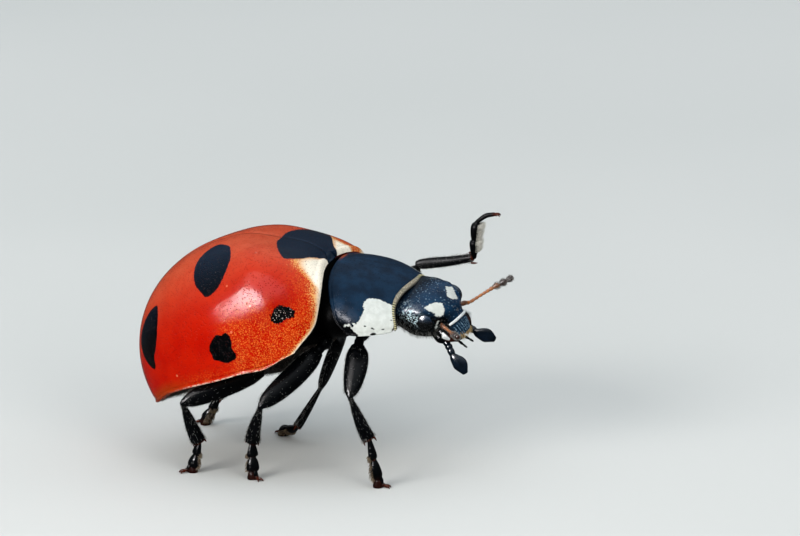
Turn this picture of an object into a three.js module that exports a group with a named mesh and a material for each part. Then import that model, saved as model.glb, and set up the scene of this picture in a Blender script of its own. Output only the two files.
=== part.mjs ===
// A nine-spotted form of the seven-spot ladybird, standing on five feet with its left front leg raised.
// Millimetres, +Z up, floor at z = 0, head towards -Y, the beetle's left side towards +X.
//
// Two frames are used. The STAND frame is the part's own frame. The BODY frame is the beetle's: x forward
// from the tip of the wing cases, y to its left, z up out of its back, with z = 0 the plane of the wing
// cases' lower rim. The body group turns the second into the first, pitched head-up as the beetle stands.
import * as THREE from "three";

const { Vector3, Group, Mesh, MeshStandardMaterial, BufferGeometry, Float32BufferAttribute } = THREE;
const V = (x, y, z) => new Vector3(x, y, z);
const DEG = Math.PI / 180;

// ---------------------------------------------------------------- driving sizes (mm, degrees)
const STANCE = { pitchUp: 25.6, rimHeight: 1.42 }; // rimHeight: the wing cases' tip above the floor
const GAP = 0.03; // clear space between neighbouring plates
const WING = {
  length: 5.75, halfWidth: 2.616, height: 2.929,
  widestAt: 0.39, highestAt: 0.479, baseWidth: 0.779, baseHeight: 0.482,
  shoulderFall: 0.658, shoulderPower: 3.633, tailWidthPower: 2.061, tailHeightPower: 2.192, sidePower: 0.875, topPower: 0.925,
  rimFront: -0.081, rimRise: 0.105, rimSag: 0.113, sagAt: 0.266, sagSpan: 0.103, // the rim sags behind the shoulder and rises to three quarters
  tailDrop: 0.26, tailTuck: 0.09, // then it dips and tucks in under the tip
  seamDip: 0.2, fullness: 0.1, // the seam lies low between the shoulders, and the sides beside it are full
  left: { lift: 0, forward: 0.28 }, right: { lift: 0.06, forward: 0.1 }, // the left case sits a little lower and further forward
  shell: 0.45, fold: 0.1, // plate thickness, and how much wider the rim's underside is
};
const NOTCH = { reach: 0.016, halfWidth: 0.3 }; // the scutellum's place in the wing cases' base, as a share of their length
const SHIELD = { // pronotum
  rearHalf: 1.646, frontHalf: 1.336, length: 1.199, rearCurve: 0.449, frontCurve: 0.241,
  rearHeight: 1.073, frontHeight: 0.56, sidePower: 1.011, topPower: 0.955, bulge: 0.156,
  shell: 0.13, yawRight: 2.8, pitchDown: 24.5, rollLeftUp: 11.3, at: [5.82, 0, 0.17],
};
const ROWS = 16, COLUMNS = 11; // facets of the vault from base to tip, and from seam to rim
const BELLY = { chestDepth: 0.74, chestAt: 0.3, splitRow: 7 };
// The head's axes in the body frame: mouthwards, to its left, and out of its face. It is turned to the right.
const HEAD = {
  at: [7.77, -0.1, -0.625],
  x: [0.468, -0.067, -0.881], y: [0.39, 0.911, 0.138], z: [0.793, -0.408, 0.452],
};

// ---------------------------------------------------------------- small helpers
const clamp = (v, a, b) => Math.min(b, Math.max(a, v));
const smooth = (a, b, v) => { const u = clamp((v - a) / (b - a), 0, 1); return u * u * (3 - 2 * u); };
const mix = (a, b, k) => a + (b - a) * k;
// A smooth curve through a small table of [position, value] pairs.
const along = (table) => (u) => {
  if (u <= table[0][0]) return table[0][1];
  for (let i = 1; i < table.length; i++)
    if (u <= table[i][0]) return mix(table[i - 1][1], table[i][1], smooth(table[i - 1][0], table[i][0], u));
  return table[table.length - 1][1];
};

// Turns a list of triangles (points) into one closed body facing out, without the flat ones.
function solid(triangles) {
  const ids = new Map(), points = [], index = [];
  const idOf = (p) => {
    const key = [p.x, p.y, p.z].map((c) => Math.round(c * 5000)).join();
    if (!ids.has(key)) { ids.set(key, points.length); points.push(p); }
    return ids.get(key);
  };
  let volume = 0;
  for (const [a, b, c] of triangles) {
    const t = [idOf(a), idOf(b), idOf(c)];
    if (t[0] === t[1] || t[1] === t[2] || t[0] === t[2]) continue;
    index.push(t);
    volume += points[t[0]].dot(points[t[1]].clone().cross(points[t[2]]));
  }
  if (volume < 0) for (const t of index) t.reverse();
  const g = new BufferGeometry();
  g.setAttribute("position", new Float32BufferAttribute(points.flatMap((p) => [p.x, p.y, p.z]), 3));
  g.setIndex(index.flat());
  g.computeVertexNormals();
  return g;
}
const quad = (out, a, b, c, d) => { out.push([a, b, c], [a, c, d]); };

// A curved plate between an outer and an inner surface over u, v in 0..1.
function plate(outer, inner, nu, nv, uOf = (u) => u, vOf = (v) => v) {
  const O = [], I = [], out = [];
  for (let i = 0; i <= nu; i++) {
    O.push([]); I.push([]);
    for (let j = 0; j <= nv; j++) {
      O[i].push(outer(uOf(i / nu), vOf(j / nv)));
      I[i].push(inner(uOf(i / nu), vOf(j / nv)));
    }
  }
  for (let i = 0; i < nu; i++)
    for (let j = 0; j < nv; j++) {
      quad(out, O[i][j], O[i + 1][j], O[i + 1][j + 1], O[i][j + 1]);
      quad(out, I[i][j + 1], I[i + 1][j + 1], I[i + 1][j], I[i][j]);
    }
  for (let i = 0; i < nu; i++) {
    quad(out, O[i + 1][0], O[i][0], I[i][0], I[i + 1][0]);
    quad(out, O[i][nv], O[i + 1][nv], I[i + 1][nv], I[i][nv]);
  }
  for (let j = 0; j < nv; j++) {
    quad(out, O[0][j], O[0][j + 1], I[0][j + 1], I[0][j]);
    quad(out, O[nu][j + 1], O[nu][j], I[nu][j], I[nu][j + 1]);
  }
  return solid(out);
}

// A body through a row of closed loops, each end closed on a point (its middle unless one is given).
function loft(loops, startPoint, endPoint) {
  const out = [];
  for (let i = 0; i + 1 < loops.length; i++)
    for (let j = 0; j < loops[i].length; j++) {
      const k = (j + 1) % loops[i].length;
      quad(out, loops[i][j], loops[i][k], loops[i + 1][k], loops[i + 1][j]);
    }
  const middle = (loop) => loop.reduce((s, p) => s.add(p), V(0, 0, 0)).divideScalar(loop.length);
  const a = loops[0], z = loops[loops.length - 1];
  const pa = startPoint ?? middle(a), pz = endPoint ?? middle(z);
  for (let j = 0; j < a.length; j++) {
    const k = (j + 1) % a.length;
    out.push([a[k], a[j], pa], [z[j], z[k], pz]);
  }
  return solid(out);
}

// A limb: oval sections along a path of { p, a, b }, a across the reference direction and b beside it.
// Its ends are rounded, unless an end is flat.
function limb(path, { sides = 8, ref = V(0, 0, 1), flatEnd = false, flatStart = false, endNormal, floor } = {}) {
  const n = path.length, loops = [];
  let t0, t1;
  path.forEach((s, i) => {
    const before = path[Math.max(0, i - 1)].p, after = path[Math.min(n - 1, i + 1)].p;
    const t = after.clone().sub(before).normalize();
    if (i === n - 1 && endNormal) t.copy(endNormal).normalize();
    if (i === 0) t0 = t.clone();
    if (i === n - 1) t1 = t.clone();
    const across = ref.clone().addScaledVector(t, -ref.dot(t)).normalize();
    const beside = t.clone().cross(across);
    const loop = [];
    for (let j = 0; j < sides; j++) {
      const w = ((j + 0.5) / sides) * 2 * Math.PI;
      const q = s.p.clone().addScaledVector(across, s.a * Math.cos(w)).addScaledVector(beside, s.b * Math.sin(w));
      if (floor !== undefined) q.z = Math.max(q.z, floor);
      loop.push(q);
    }
    loops.push(loop);
  });
  const first = path[0], last = path[n - 1];
  return loft(
    loops,
    first.p.clone().addScaledVector(t0, flatStart ? 0 : -0.45 * Math.min(first.a, first.b)),
    last.p.clone().addScaledVector(t1, flatEnd ? 0 : 0.45 * Math.min(last.a, last.b)),
  );
}
const at = (p, a, b = a) => ({ p: Array.isArray(p) ? V(...p) : p, a, b });

// ---------------------------------------------------------------- the scene graph
const part = new Group();
const body = new Group();
body.rotation.set(0, -STANCE.pitchUp * DEG, -90 * DEG, "ZYX");
body.position.set(0, 0, STANCE.rimHeight);
part.add(body);
const shield = new Group();
shield.position.set(...SHIELD.at);
shield.rotation.set(SHIELD.rollLeftUp * DEG, SHIELD.pitchDown * DEG, -SHIELD.yawRight * DEG, "ZYX");
body.add(shield);
const head = new Group();
head.matrixAutoUpdate = false;
head.matrix.makeBasis(V(...HEAD.x).normalize(), V(...HEAD.y).normalize(), V(...HEAD.z).normalize()).setPosition(...HEAD.at);
body.add(head);
part.updateMatrixWorld(true);
const toStand = (x, y, z) => V(x, y, z).applyMatrix4(body.matrixWorld);
const shieldToStand = (x, y, z) => V(x, y, z).applyMatrix4(shield.matrixWorld);

const paint = (color, roughness, metalness = 0) => new MeshStandardMaterial({ color, roughness, metalness });
function add(group, name, geometry, material) {
  const mesh = new Mesh(geometry, material);
  mesh.name = name;
  group.add(mesh);
  return mesh;
}
const RED = 0xc8300f, BLACK = 0x0b0d12, DARK = 0x14151a, BROWN = 0x8a4a1c;

// ---------------------------------------------------------------- wing cases (elytra)
const halfWidthAt = (t) => {
  if (t < WING.widestAt) {
    const f = (WING.widestAt - t) / WING.widestAt;
    return WING.halfWidth * (WING.baseWidth + (1 - WING.baseWidth) * Math.sqrt(clamp(1 - f ** 2.2, 0, 1)));
  }
  const u = (t - WING.widestAt) / (1 - WING.widestAt);
  return WING.halfWidth * clamp(1 - u ** WING.tailWidthPower, 0, 1) ** 0.52;
};
const crestAt = (t) => {
  const dip = WING.seamDip * smooth(0.34, 0.12, t) * smooth(-0.005, 0.02, t);
  if (t < WING.highestAt) {
    const f = (WING.highestAt - t) / WING.highestAt;
    return WING.height * (WING.baseHeight + (1 - WING.baseHeight) * Math.sqrt(clamp(1 - f ** 2, 0, 1))) - dip;
  }
  const u = (t - WING.highestAt) / (1 - WING.highestAt);
  return WING.height * clamp(1 - u ** WING.tailHeightPower, 0, 1) ** 0.52 - dip;
};
const rimAt = (t) => WING.rimFront * smooth(0.42, 0, t) - WING.rimSag * Math.exp(-(((t - WING.sagAt) / WING.sagSpan) ** 2))
  + WING.rimRise * smooth(0.42, 0.72, t) - WING.tailDrop * smooth(0.8, 1, t);
// A point of the vault, t from base (0) to tip (1), v from the seam (0) to the rim (1), inset by a depth.
function vault(t, v, side, inset = 0) {
  const a = (v * Math.PI) / 2, own = side > 0 ? WING.left : WING.right;
  const k = { y: (WING.halfWidth - inset) / WING.halfWidth, z: (WING.height - inset) / WING.height };
  const w = halfWidthAt(t) * k.y, h = crestAt(t) * k.z, rim = rimAt(t) * k.z;
  const bulge = Math.sin(Math.PI * v) ** 2, base = smooth(0.3, 0, t);
  const lift = own.lift * base + WING.fullness * Math.exp(-(((t - 0.2) / 0.13) ** 2));
  const x = inset + (WING.length - 2 * inset) * (1 - t) - WING.shoulderFall * v ** WING.shoulderPower * (1 - t) ** 2
    + own.forward * bulge * base * (1 - t) ** 6 + WING.tailTuck * v ** 2 * smooth(0.8, 1, t);
  const y = w * Math.sin(a) ** WING.sidePower, z = (h - rim) * (Math.cos(a) ** WING.topPower + lift * bulge);
  return V(x, side * y, rim + z);
}
const SEAM = 0.012;
function wingPoint(t, v, side, inset) {
  // beside the seam the plate starts behind the notch for the scutellum
  const notch = NOTCH.reach * clamp(1 - Math.abs(vault(t, v, side, inset).y) / NOTCH.halfWidth, 0, 1);
  const p = vault(mix(notch, 1, t), v, side, inset);
  p.y = side * (t >= 0.9999 ? SEAM : Math.max(Math.abs(p.y), SEAM));
  return p;
}
const spread = (u) => mix(u, u * u * (3 - 2 * u), 0.85); // closer rows towards the base and the tip
const sideways = (v) => mix(v, v * v * (3 - 2 * v), 0.25);
const inFold = (v) => WING.shell + WING.fold * v ** 8;
for (const [name, side] of [["elytron_left", 1], ["elytron_right", -1]])
  add(body, name, plate(
    (t, v) => wingPoint(t, v, side, 0),
    (t, v) => wingPoint(t, v, side, inFold(v)),
    ROWS, COLUMNS, spread, sideways,
  ), paint(RED, 0.25));

// The scutellum: a small triangular plate in the notch, on the steep front of the vault.
{
  const point = (u, v, inset) => {
    const t = NOTCH.reach * 0.72 * u, p = vault(t, 0, 1, 0.03 + inset);
    return V(p.x, (2 * v - 1) * NOTCH.halfWidth * 0.58 * (1 - u), p.z);
  };
  add(body, "scutellum", plate((u, v) => point(u, v, 0), (u, v) => point(u, v, WING.shell - 0.02), 3, 4), paint(BLACK, 0.3));
}

// ---------------------------------------------------------------- trunk under the wing cases
// The underside bulges most at the chest and flattens towards the tail.
const bellyAt = (t) => BELLY.chestDepth * along([[0, 0.45], [BELLY.chestAt, 1], [0.55, 0.5], [0.8, 0.36], [1, 0.1]])(t);
function trunkLoop(t, lower = 8) {
  const loop = [];
  for (let j = -COLUMNS; j <= COLUMNS; j++) {
    const v = sideways(Math.abs(j) / COLUMNS);
    loop.push(vault(t, v, Math.sign(j) || 1, inFold(v) + 1.6 * GAP));
  }
  const left = loop[2 * COLUMNS];
  for (let j = 1; j < lower; j++) {
    const q = 1 - (2 * j) / lower; // from left to right
    const v = Math.abs(q);
    const edge = vault(t, v, 1, 0);
    const w = Math.abs(left.y);
    loop.push(V(
      (left.x - edge.x) * v ** 2 + edge.x,
      w * q,
      mix(left.z, -bellyAt(t) * (1 - q * q) ** 1.3 + rimAt(t) * q * q, 1 - v ** 6),
    ));
  }
  return loop;
}
const stations = (a, b, n) => Array.from({ length: n }, (_, i) => mix(a, b, i / (n - 1)));
const rows = Array.from({ length: ROWS + 1 }, (_, i) => spread(i / ROWS));
const chest = [rows[1] + 0.012, ...rows.slice(2, BELLY.splitRow + 1)].map((t) => trunkLoop(t));
const tail = [rows[BELLY.splitRow] + GAP / WING.length, ...rows.slice(BELLY.splitRow + 1, ROWS - 3)].map((t) => trunkLoop(t));
add(body, "thorax", loft(chest), paint(BLACK, 0.4));
add(body, "abdomen", loft(tail), paint(BLACK, 0.4));

// ---------------------------------------------------------------- pronotum and the trunk under it
function shieldPoint(s, q, inset = 0) {
  const a = (q * Math.PI) / 2, lift = Math.abs(Math.sin(a));
  const w = mix(SHIELD.rearHalf, SHIELD.frontHalf, s ** 1.5) + SHIELD.bulge * Math.sin(Math.PI * s) - inset;
  const h = mix(SHIELD.rearHeight, SHIELD.frontHeight, s) + 0.1 * Math.sin(Math.PI * s) - inset;
  const back = -SHIELD.rearCurve * (1 - lift ** 2.6), front = SHIELD.length + SHIELD.frontCurve * lift ** 3;
  return V(mix(back, front, s), w * Math.sign(a) * lift ** SHIELD.sidePower, h * Math.cos(a) ** SHIELD.topPower);
}
const acrossShield = (v) => { const q = 2 * v - 1; return Math.sign(q) * Math.abs(q) ** 0.85; };
const margin = (q) => SHIELD.shell + 0.12 * Math.abs(q) ** 8;
add(shield, "pronotum", plate(
  (s, q) => shieldPoint(s, q), (s, q) => shieldPoint(s, q, margin(q)), 6, 18, (s) => s, acrossShield,
), paint(BLACK, 0.3));

function chestLoop(s, upper = 10, lower = 6) {
  const loop = [];
  for (let j = 0; j <= upper; j++) {
    const q = (j / upper) * 2 - 1;
    const p = shieldPoint(s, q, margin(q) + GAP);
    loop.push(p);
  }
  const edge = loop[upper].y, depth = mix(0.5, 0.4, s), mid = shieldPoint(s, 0).x, end = loop[upper].x;
  for (let j = 1; j < lower; j++) {
    const q = 1 - (2 * j) / lower;
    loop.push(V(mix(mid, end, q * q), edge * q, -depth * (1 - q * q) ** 0.8));
  }
  return loop;
}
add(shield, "prothorax", loft(stations(0.28, 0.84, 5).map((s) => chestLoop(s))), paint(BLACK, 0.4));

// ---------------------------------------------------------------- head
{
  const width = along([[-0.8, 0.52], [-0.64, 0.72], [-0.3, 0.79], [0.05, 0.71], [0.3, 0.6], [0.45, 0.49], [0.6, 0.38]]);
  const face = along([[-0.8, -0.16], [-0.62, 0.05], [-0.3, 0.33], [0.05, 0.41], [0.3, 0.37], [0.6, 0.2]]);
  const throat = along([[-0.8, -0.45], [-0.6, -0.74], [-0.3, -0.86], [0.1, -0.82], [0.4, -0.6], [0.6, -0.3]]);
  const loops = [-0.8, -0.7, -0.52, -0.3, -0.05, 0.2, 0.42, 0.6].map((x) => {
    const w = width(x), zt = face(x), zb = throat(x), c = (zt + zb) / 2, r = (zt - zb) / 2, loop = [];
    for (let j = 0; j < 16; j++) {
      const f = (j / 16) * 2 * Math.PI, cy = Math.cos(f), cz = Math.sin(f);
      loop.push(V(x, w * Math.sign(cy) * Math.abs(cy) ** 0.85, c + r * Math.sign(cz) * Math.abs(cz) ** 0.85));
    }
    return loop;
  });
  add(head, "head", loft(loops), paint(BLACK, 0.35));
  for (const [name, s] of [["eye_left", 1], ["eye_right", -1]]) {
    // Each eye is a bulging lens that lies against the side of the head.
    const lens = (k) => {
      const loop = [];
      for (let j = 0; j < 12; j++) {
        const f = (j / 12) * 2 * Math.PI;
        loop.push(V(0.04 + 0.27 * k * Math.cos(f), 0, -0.05 + 0.28 * k * Math.sin(f)));
      }
      return loop;
    };
    const seat = (x) => width(x) + 1.6 * GAP;
    const rings = [[0.98, 0.0], [1, 0.045], [0.86, 0.1], [0.5, 0.14]].map(([k, out]) =>
      lens(k).map((p) => V(p.x, s * (seat(p.x) + out), p.z)));
    add(head, name, loft(rings, V(0.04, s * seat(0.04), -0.05), V(0.04, s * (seat(0.04) + 0.155), -0.05)), paint(DARK, 0.2));
  }
  // Upper lip with the front of the face
  add(head, "labrum", limb([
    at([0.66, 0, 0.09], 0.1, 0.36), at([0.8, 0, 0.04], 0.1, 0.34), at([0.96, 0, -0.03], 0.06, 0.24),
  ], { sides: 10 }), paint(BLACK, 0.4));
  for (const [side, s] of [["left", 1], ["right", -1]]) {
    add(head, `mandible_${side}`, limb([
      at([0.6, s * 0.5, -0.15], 0.09, 0.07), at([0.7, s * 0.44, -0.16], 0.11, 0.09),
      at([0.84, s * 0.3, -0.17], 0.1, 0.1), at([0.98, s * 0.12, -0.18], 0.06, 0.07),
    ], { sides: 8 }), paint(DARK, 0.35));
  }
  // Jaw feelers: four pieces each, the last one widened like an axe head
  add(head, "maxillary_palp_right", limb([
    at([0.62, -0.42, -0.5], 0.1), at([0.8, -0.5, -0.46], 0.13), at([0.95, -0.58, -0.43], 0.11), at([1.1, -0.65, -0.42], 0.13, 0.1),
    at([1.3, -0.7, -0.45], 0.2, 0.12), at([1.5, -0.73, -0.5], 0.22, 0.12), at([1.62, -0.75, -0.53], 0.1, 0.08),
  ], { sides: 8, ref: V(-0.5, 0.5, 1) }), paint(BLACK, 0.25));
  add(head, "maxillary_palp_left", limb([
    at([0.62, 0.42, -0.5], 0.1), at([0.8, 0.46, -0.42], 0.12), at([0.95, 0.44, -0.33], 0.11), at([1.08, 0.4, -0.25], 0.13, 0.1),
    at([1.25, 0.43, -0.21], 0.2, 0.12), at([1.45, 0.5, -0.21], 0.2, 0.12), at([1.56, 0.55, -0.21], 0.09, 0.08),
  ], { sides: 8, ref: V(-0.3, 0.2, 1) }), paint(BLACK, 0.25));
  add(head, "labium", limb([
    at([0.56, 0, -0.52], 0.09, 0.22), at([0.75, 0, -0.48], 0.1, 0.24), at([0.93, 0, -0.42], 0.08, 0.22), at([1.15, 0, -0.36], 0.06, 0.16),
  ], { sides: 8 }), paint(DARK, 0.4));
  add(head, "antenna_left", limb([
    at([0.46, 0.66, 0.1], 0.1), at([0.53, 0.84, 0.05], 0.18), at([0.6, 1.15, 0.1], 0.2), at([0.66, 1.45, 0.2], 0.21),
    at([0.74, 1.75, 0.3], 0.24), at([0.82, 1.97, 0.38], 0.18),
  ], { sides: 8 }), paint(BROWN, 0.5));
  add(head, "antenna_right", limb([
    at([0.5, -0.63, 0.16], 0.1), at([0.61, -0.75, 0.34], 0.18), at([0.76, -0.92, 0.57], 0.2), at([0.9, -1.07, 0.78], 0.21),
    at([1.03, -1.24, 0.98], 0.24), at([1.12, -1.36, 1.12], 0.18),
  ], { sides: 8 }), paint(BROWN, 0.5));
}

// ---------------------------------------------------------------- legs
// Joints in the stand frame, heights above the wing cases' tip plus its own height above the floor.
const H = STANCE.rimHeight;
const J = (x, y, z) => V(x, y, z + H);
const LEGS = {
  front_right: { hip: shieldToStand(0.3, -0.42, -0.66), thigh: J(-1.0, -5.5, 1.9), knee: J(-2.0, -5.575, 0.843), ankle: J(-1.95, -6.066, -0.252), sole: V(-1.9, -6.26, 0) },
  middle_right: { hip: toStand(4.6, -0.6, -0.84), thigh: J(-1.35, -4.48, 1.64), knee: J(-2.7, -3.5, 0.645), ankle: J(-1.95, -3.067, -0.517), sole: V(-2.0, -3.1, 0) },
  hind_right: { hip: toStand(3.3, -0.55, -0.87), thigh: J(-1.4, -3.18, 1.04), knee: J(-2.35, -1.41, 0.48), ankle: J(-1.8, -1.68, -0.66), sole: V(-1.8, -1.5, 0) },
  middle_left: { hip: toStand(4.6, 0.6, -0.84), thigh: J(1.47, -4.45, 1.6), knee: J(2.0, -3.686, -0.144), ankle: J(1.6, -3.16, -1.12), sole: V(1.95, -2.74, 0) },
  hind_left: { hip: toStand(3.3, 0.55, -0.87), thigh: J(1.4, -3.18, 1.04), knee: J(2.5, -1.5, 0.3), ankle: J(2.3, -0.95, -0.7), sole: V(2.4, -0.6, 0) },
  front_left: { hip: shieldToStand(0.3, 0.42, -0.66), thigh: J(1.0, -5.62, 2.2), knee: J(2.5, -6.04, 2.98), ankle: J(2.42, -7.52, 3.37), toe: J(2.3, -7.63, 4.3), claw: J(2.35, -8.1, 4.53) },
};
const lerp = (a, b, k) => a.clone().lerp(b, k);
const past = (a, b, d) => a.clone().addScaledVector(b.clone().sub(a).normalize(), d); // d from a towards b
for (const [name, leg] of Object.entries(LEGS)) {
  const outward = V(Math.sign(leg.knee.x), 0, 0);
  const ref = leg.knee.clone().sub(leg.thigh).cross(leg.ankle.clone().sub(leg.knee)).normalize();
  if (!Number.isFinite(ref.x) || ref.length() < 0.5) ref.copy(outward);
  const c = lerp(leg.hip, leg.thigh, 0.5);
  add(part, `${name}_coxa`, limb([
    at(leg.hip, 0.17), at(c, 0.22), at(past(leg.thigh, c, 0.12), 0.13),
  ], { sides: 8, ref }), paint(BLACK, 0.35));
  const f0 = past(leg.thigh, leg.knee, 0.15), f1 = past(leg.knee, leg.thigh, 0.18);
  add(part, `${name}_femur`, limb([
    at(f0, 0.14), at(lerp(f0, f1, 0.2), 0.22, 0.23), at(lerp(f0, f1, 0.5), 0.24, 0.27), at(lerp(f0, f1, 0.8), 0.21, 0.23), at(f1, 0.13),
  ], { sides: 8, ref }), paint(BLACK, 0.3));
  const t0 = past(leg.knee, leg.ankle, 0.18), t1 = past(leg.ankle, leg.knee, 0.12);
  add(part, `${name}_tibia`, limb([
    at(t0, 0.13), at(lerp(t0, t1, 0.25), 0.2), at(lerp(t0, t1, 0.6), 0.23), at(t1, 0.21),
  ], { sides: 8, ref }), paint(BLACK, 0.35));
  if (leg.sole) {
    const top = past(leg.ankle, leg.sole, 0.12);
    add(part, `${name}_tarsus`, limb([
      at(top, 0.14), at(lerp(top, leg.sole, 0.35), 0.2), at(lerp(top, leg.sole, 0.75), 0.21), at(leg.sole, 0.18),
    ], { sides: 8, ref: V(0, 1, 0), flatEnd: true, endNormal: V(0, 0, -1), floor: 0 }), paint(DARK, 0.45));
  } else {
    const top = past(leg.ankle, leg.toe, 0.14);
    add(part, `${name}_tarsus`, limb([
      at(top, 0.14), at(lerp(top, leg.toe, 0.3), 0.2), at(lerp(top, leg.toe, 0.8), 0.2),
      at(lerp(leg.toe, leg.claw, 0.4), 0.18), at(leg.claw, 0.13),
    ], { sides: 8, ref: V(1, 0, 0) }), paint(DARK, 0.45));
  }
}

// The origin is the middle of the part's own box, on the floor.
part.updateMatrixWorld(true);
const box = new THREE.Box3().setFromObject(part, true);
const shift = V(-(box.min.x + box.max.x) / 2, -(box.min.y + box.max.y) / 2, 0);
for (const child of part.children) { child.position.add(shift); child.updateMatrix(); }
part.updateMatrixWorld(true);

export default part;
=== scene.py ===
import math

import bmesh
import bpy
import numpy as np
from mathutils import Matrix, Vector


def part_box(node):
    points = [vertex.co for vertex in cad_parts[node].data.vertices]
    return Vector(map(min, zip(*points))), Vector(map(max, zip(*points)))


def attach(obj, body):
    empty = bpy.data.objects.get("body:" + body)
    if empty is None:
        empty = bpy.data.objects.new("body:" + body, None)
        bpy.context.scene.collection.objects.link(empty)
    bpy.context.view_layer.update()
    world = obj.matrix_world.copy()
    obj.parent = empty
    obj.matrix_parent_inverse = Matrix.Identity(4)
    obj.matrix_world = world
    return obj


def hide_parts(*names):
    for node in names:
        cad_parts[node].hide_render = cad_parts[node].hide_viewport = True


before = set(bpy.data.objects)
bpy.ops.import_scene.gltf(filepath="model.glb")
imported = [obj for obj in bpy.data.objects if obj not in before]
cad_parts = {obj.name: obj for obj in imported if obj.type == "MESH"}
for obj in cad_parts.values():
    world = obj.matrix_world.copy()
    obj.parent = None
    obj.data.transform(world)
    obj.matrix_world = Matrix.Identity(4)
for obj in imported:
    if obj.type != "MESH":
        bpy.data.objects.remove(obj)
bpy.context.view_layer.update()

RNG = np.random.default_rng(20)
MM = 0.001

# ---------------------------------------------------------------------------------------------
# Frames. All shapes are made in millimetres in the beetle's body frame (x forward from the tip of the
# wing cases, y to its left, z up out of its back), the shield's or the head's, then put in the row frame.
# ---------------------------------------------------------------------------------------------
PITCH = math.radians(25.6)
CP, SP = math.cos(PITCH), math.sin(PITCH)
lo_r, hi_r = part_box("elytron_right")
lo_l, hi_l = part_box("elytron_left")
OX = 500.0 * (lo_l.x + hi_r.x)  # the seam lies midway between the two wing cases
ORIGIN = np.array([OX, 4.27614, 1.42])
ROW_BODY = np.array([[0, 1, 0], [-CP, 0, SP], [SP, 0, CP]])


def body_to_row(p):
    return np.asarray(p, float) @ ROW_BODY.T + ORIGIN


def turn(roll, pitch, yaw):
    a, b, c = (math.radians(k) for k in (roll, pitch, yaw))
    rx = np.array([[1, 0, 0], [0, math.cos(a), -math.sin(a)], [0, math.sin(a), math.cos(a)]])
    ry = np.array([[math.cos(b), 0, math.sin(b)], [0, 1, 0], [-math.sin(b), 0, math.cos(b)]])
    rz = np.array([[math.cos(c), -math.sin(c), 0], [math.sin(c), math.cos(c), 0], [0, 0, 1]])
    return rz @ ry @ rx


SHIELD_TURN = turn(11.3, 24.5, -2.8)
SHIELD_AT = np.array([5.82, 0, 0.17])
HEAD_AXES = np.stack([np.array(a) / np.linalg.norm(a) for a in
                      ((0.468, -0.067, -0.881), (0.39, 0.911, 0.138), (0.793, -0.408, 0.452))], -1)
HEAD_AT = np.array([7.77, -0.1, -0.625])


def shield_to_row(p):
    return body_to_row(np.asarray(p, float) @ SHIELD_TURN.T + SHIELD_AT)


def head_to_row(p):
    return body_to_row(np.asarray(p, float) @ HEAD_AXES.T + HEAD_AT)


def stand(x, y, z):
    """A point given beside the tip of the wing cases, in the row's directions."""
    return np.array([x, y, z]) + ORIGIN


# ---------------------------------------------------------------------------------------------
# Mesh tools
# ---------------------------------------------------------------------------------------------
def smooth(a, b, v):
    u = np.clip((np.asarray(v, float) - a) / (b - a), 0, 1)
    return u * u * (3 - 2 * u)


def mix(a, b, k):
    return a + (b - a) * k


def unit(v):
    v = np.asarray(v, float)
    return v / np.maximum(np.linalg.norm(v, axis=-1, keepdims=True), 1e-12)


def curve(table):
    """A smooth function through a small table of (position, value)."""
    t = np.array(table, float)
    x, y = t[:, 0], t[:, 1:]
    m = np.stack([np.gradient(y[:, k], x) for k in range(y.shape[1])], -1)

    def f(u):
        u = np.clip(np.asarray(u, float), x[0], x[-1])
        i = np.clip(np.searchsorted(x, u, side="right") - 1, 0, len(x) - 2)
        h = (x[i + 1] - x[i])[..., None]
        k = (u - x[i])[..., None] / h
        out = ((2 * k**3 - 3 * k**2 + 1) * y[i] + (k**3 - 2 * k**2 + k) * h * m[i]
               + (-2 * k**3 + 3 * k**2) * y[i + 1] + (k**3 - k**2) * h * m[i + 1])
        return out[..., 0] if out.shape[-1] == 1 else out
    return f


def grid_faces(nu, nv, start=0, wrap=False):
    """Quads of an (nu, nv) grid of points, row by row; wrap joins the last column to the first."""
    i, j = np.meshgrid(np.arange(nu - 1), np.arange(nv if wrap else nv - 1), indexing="ij")
    k = (j + 1) % nv
    return (np.stack([i * nv + j, (i + 1) * nv + j, (i + 1) * nv + k, i * nv + k], -1) + start).reshape(-1, 4)


def volume(V, F):
    total = 0.0
    for f in F:
        for k in range(1, f.shape[1] - 1):
            total += np.einsum("ij,ij->", V[f[:, 0]], np.cross(V[f[:, k]], V[f[:, k + 1]]))
    return total


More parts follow.
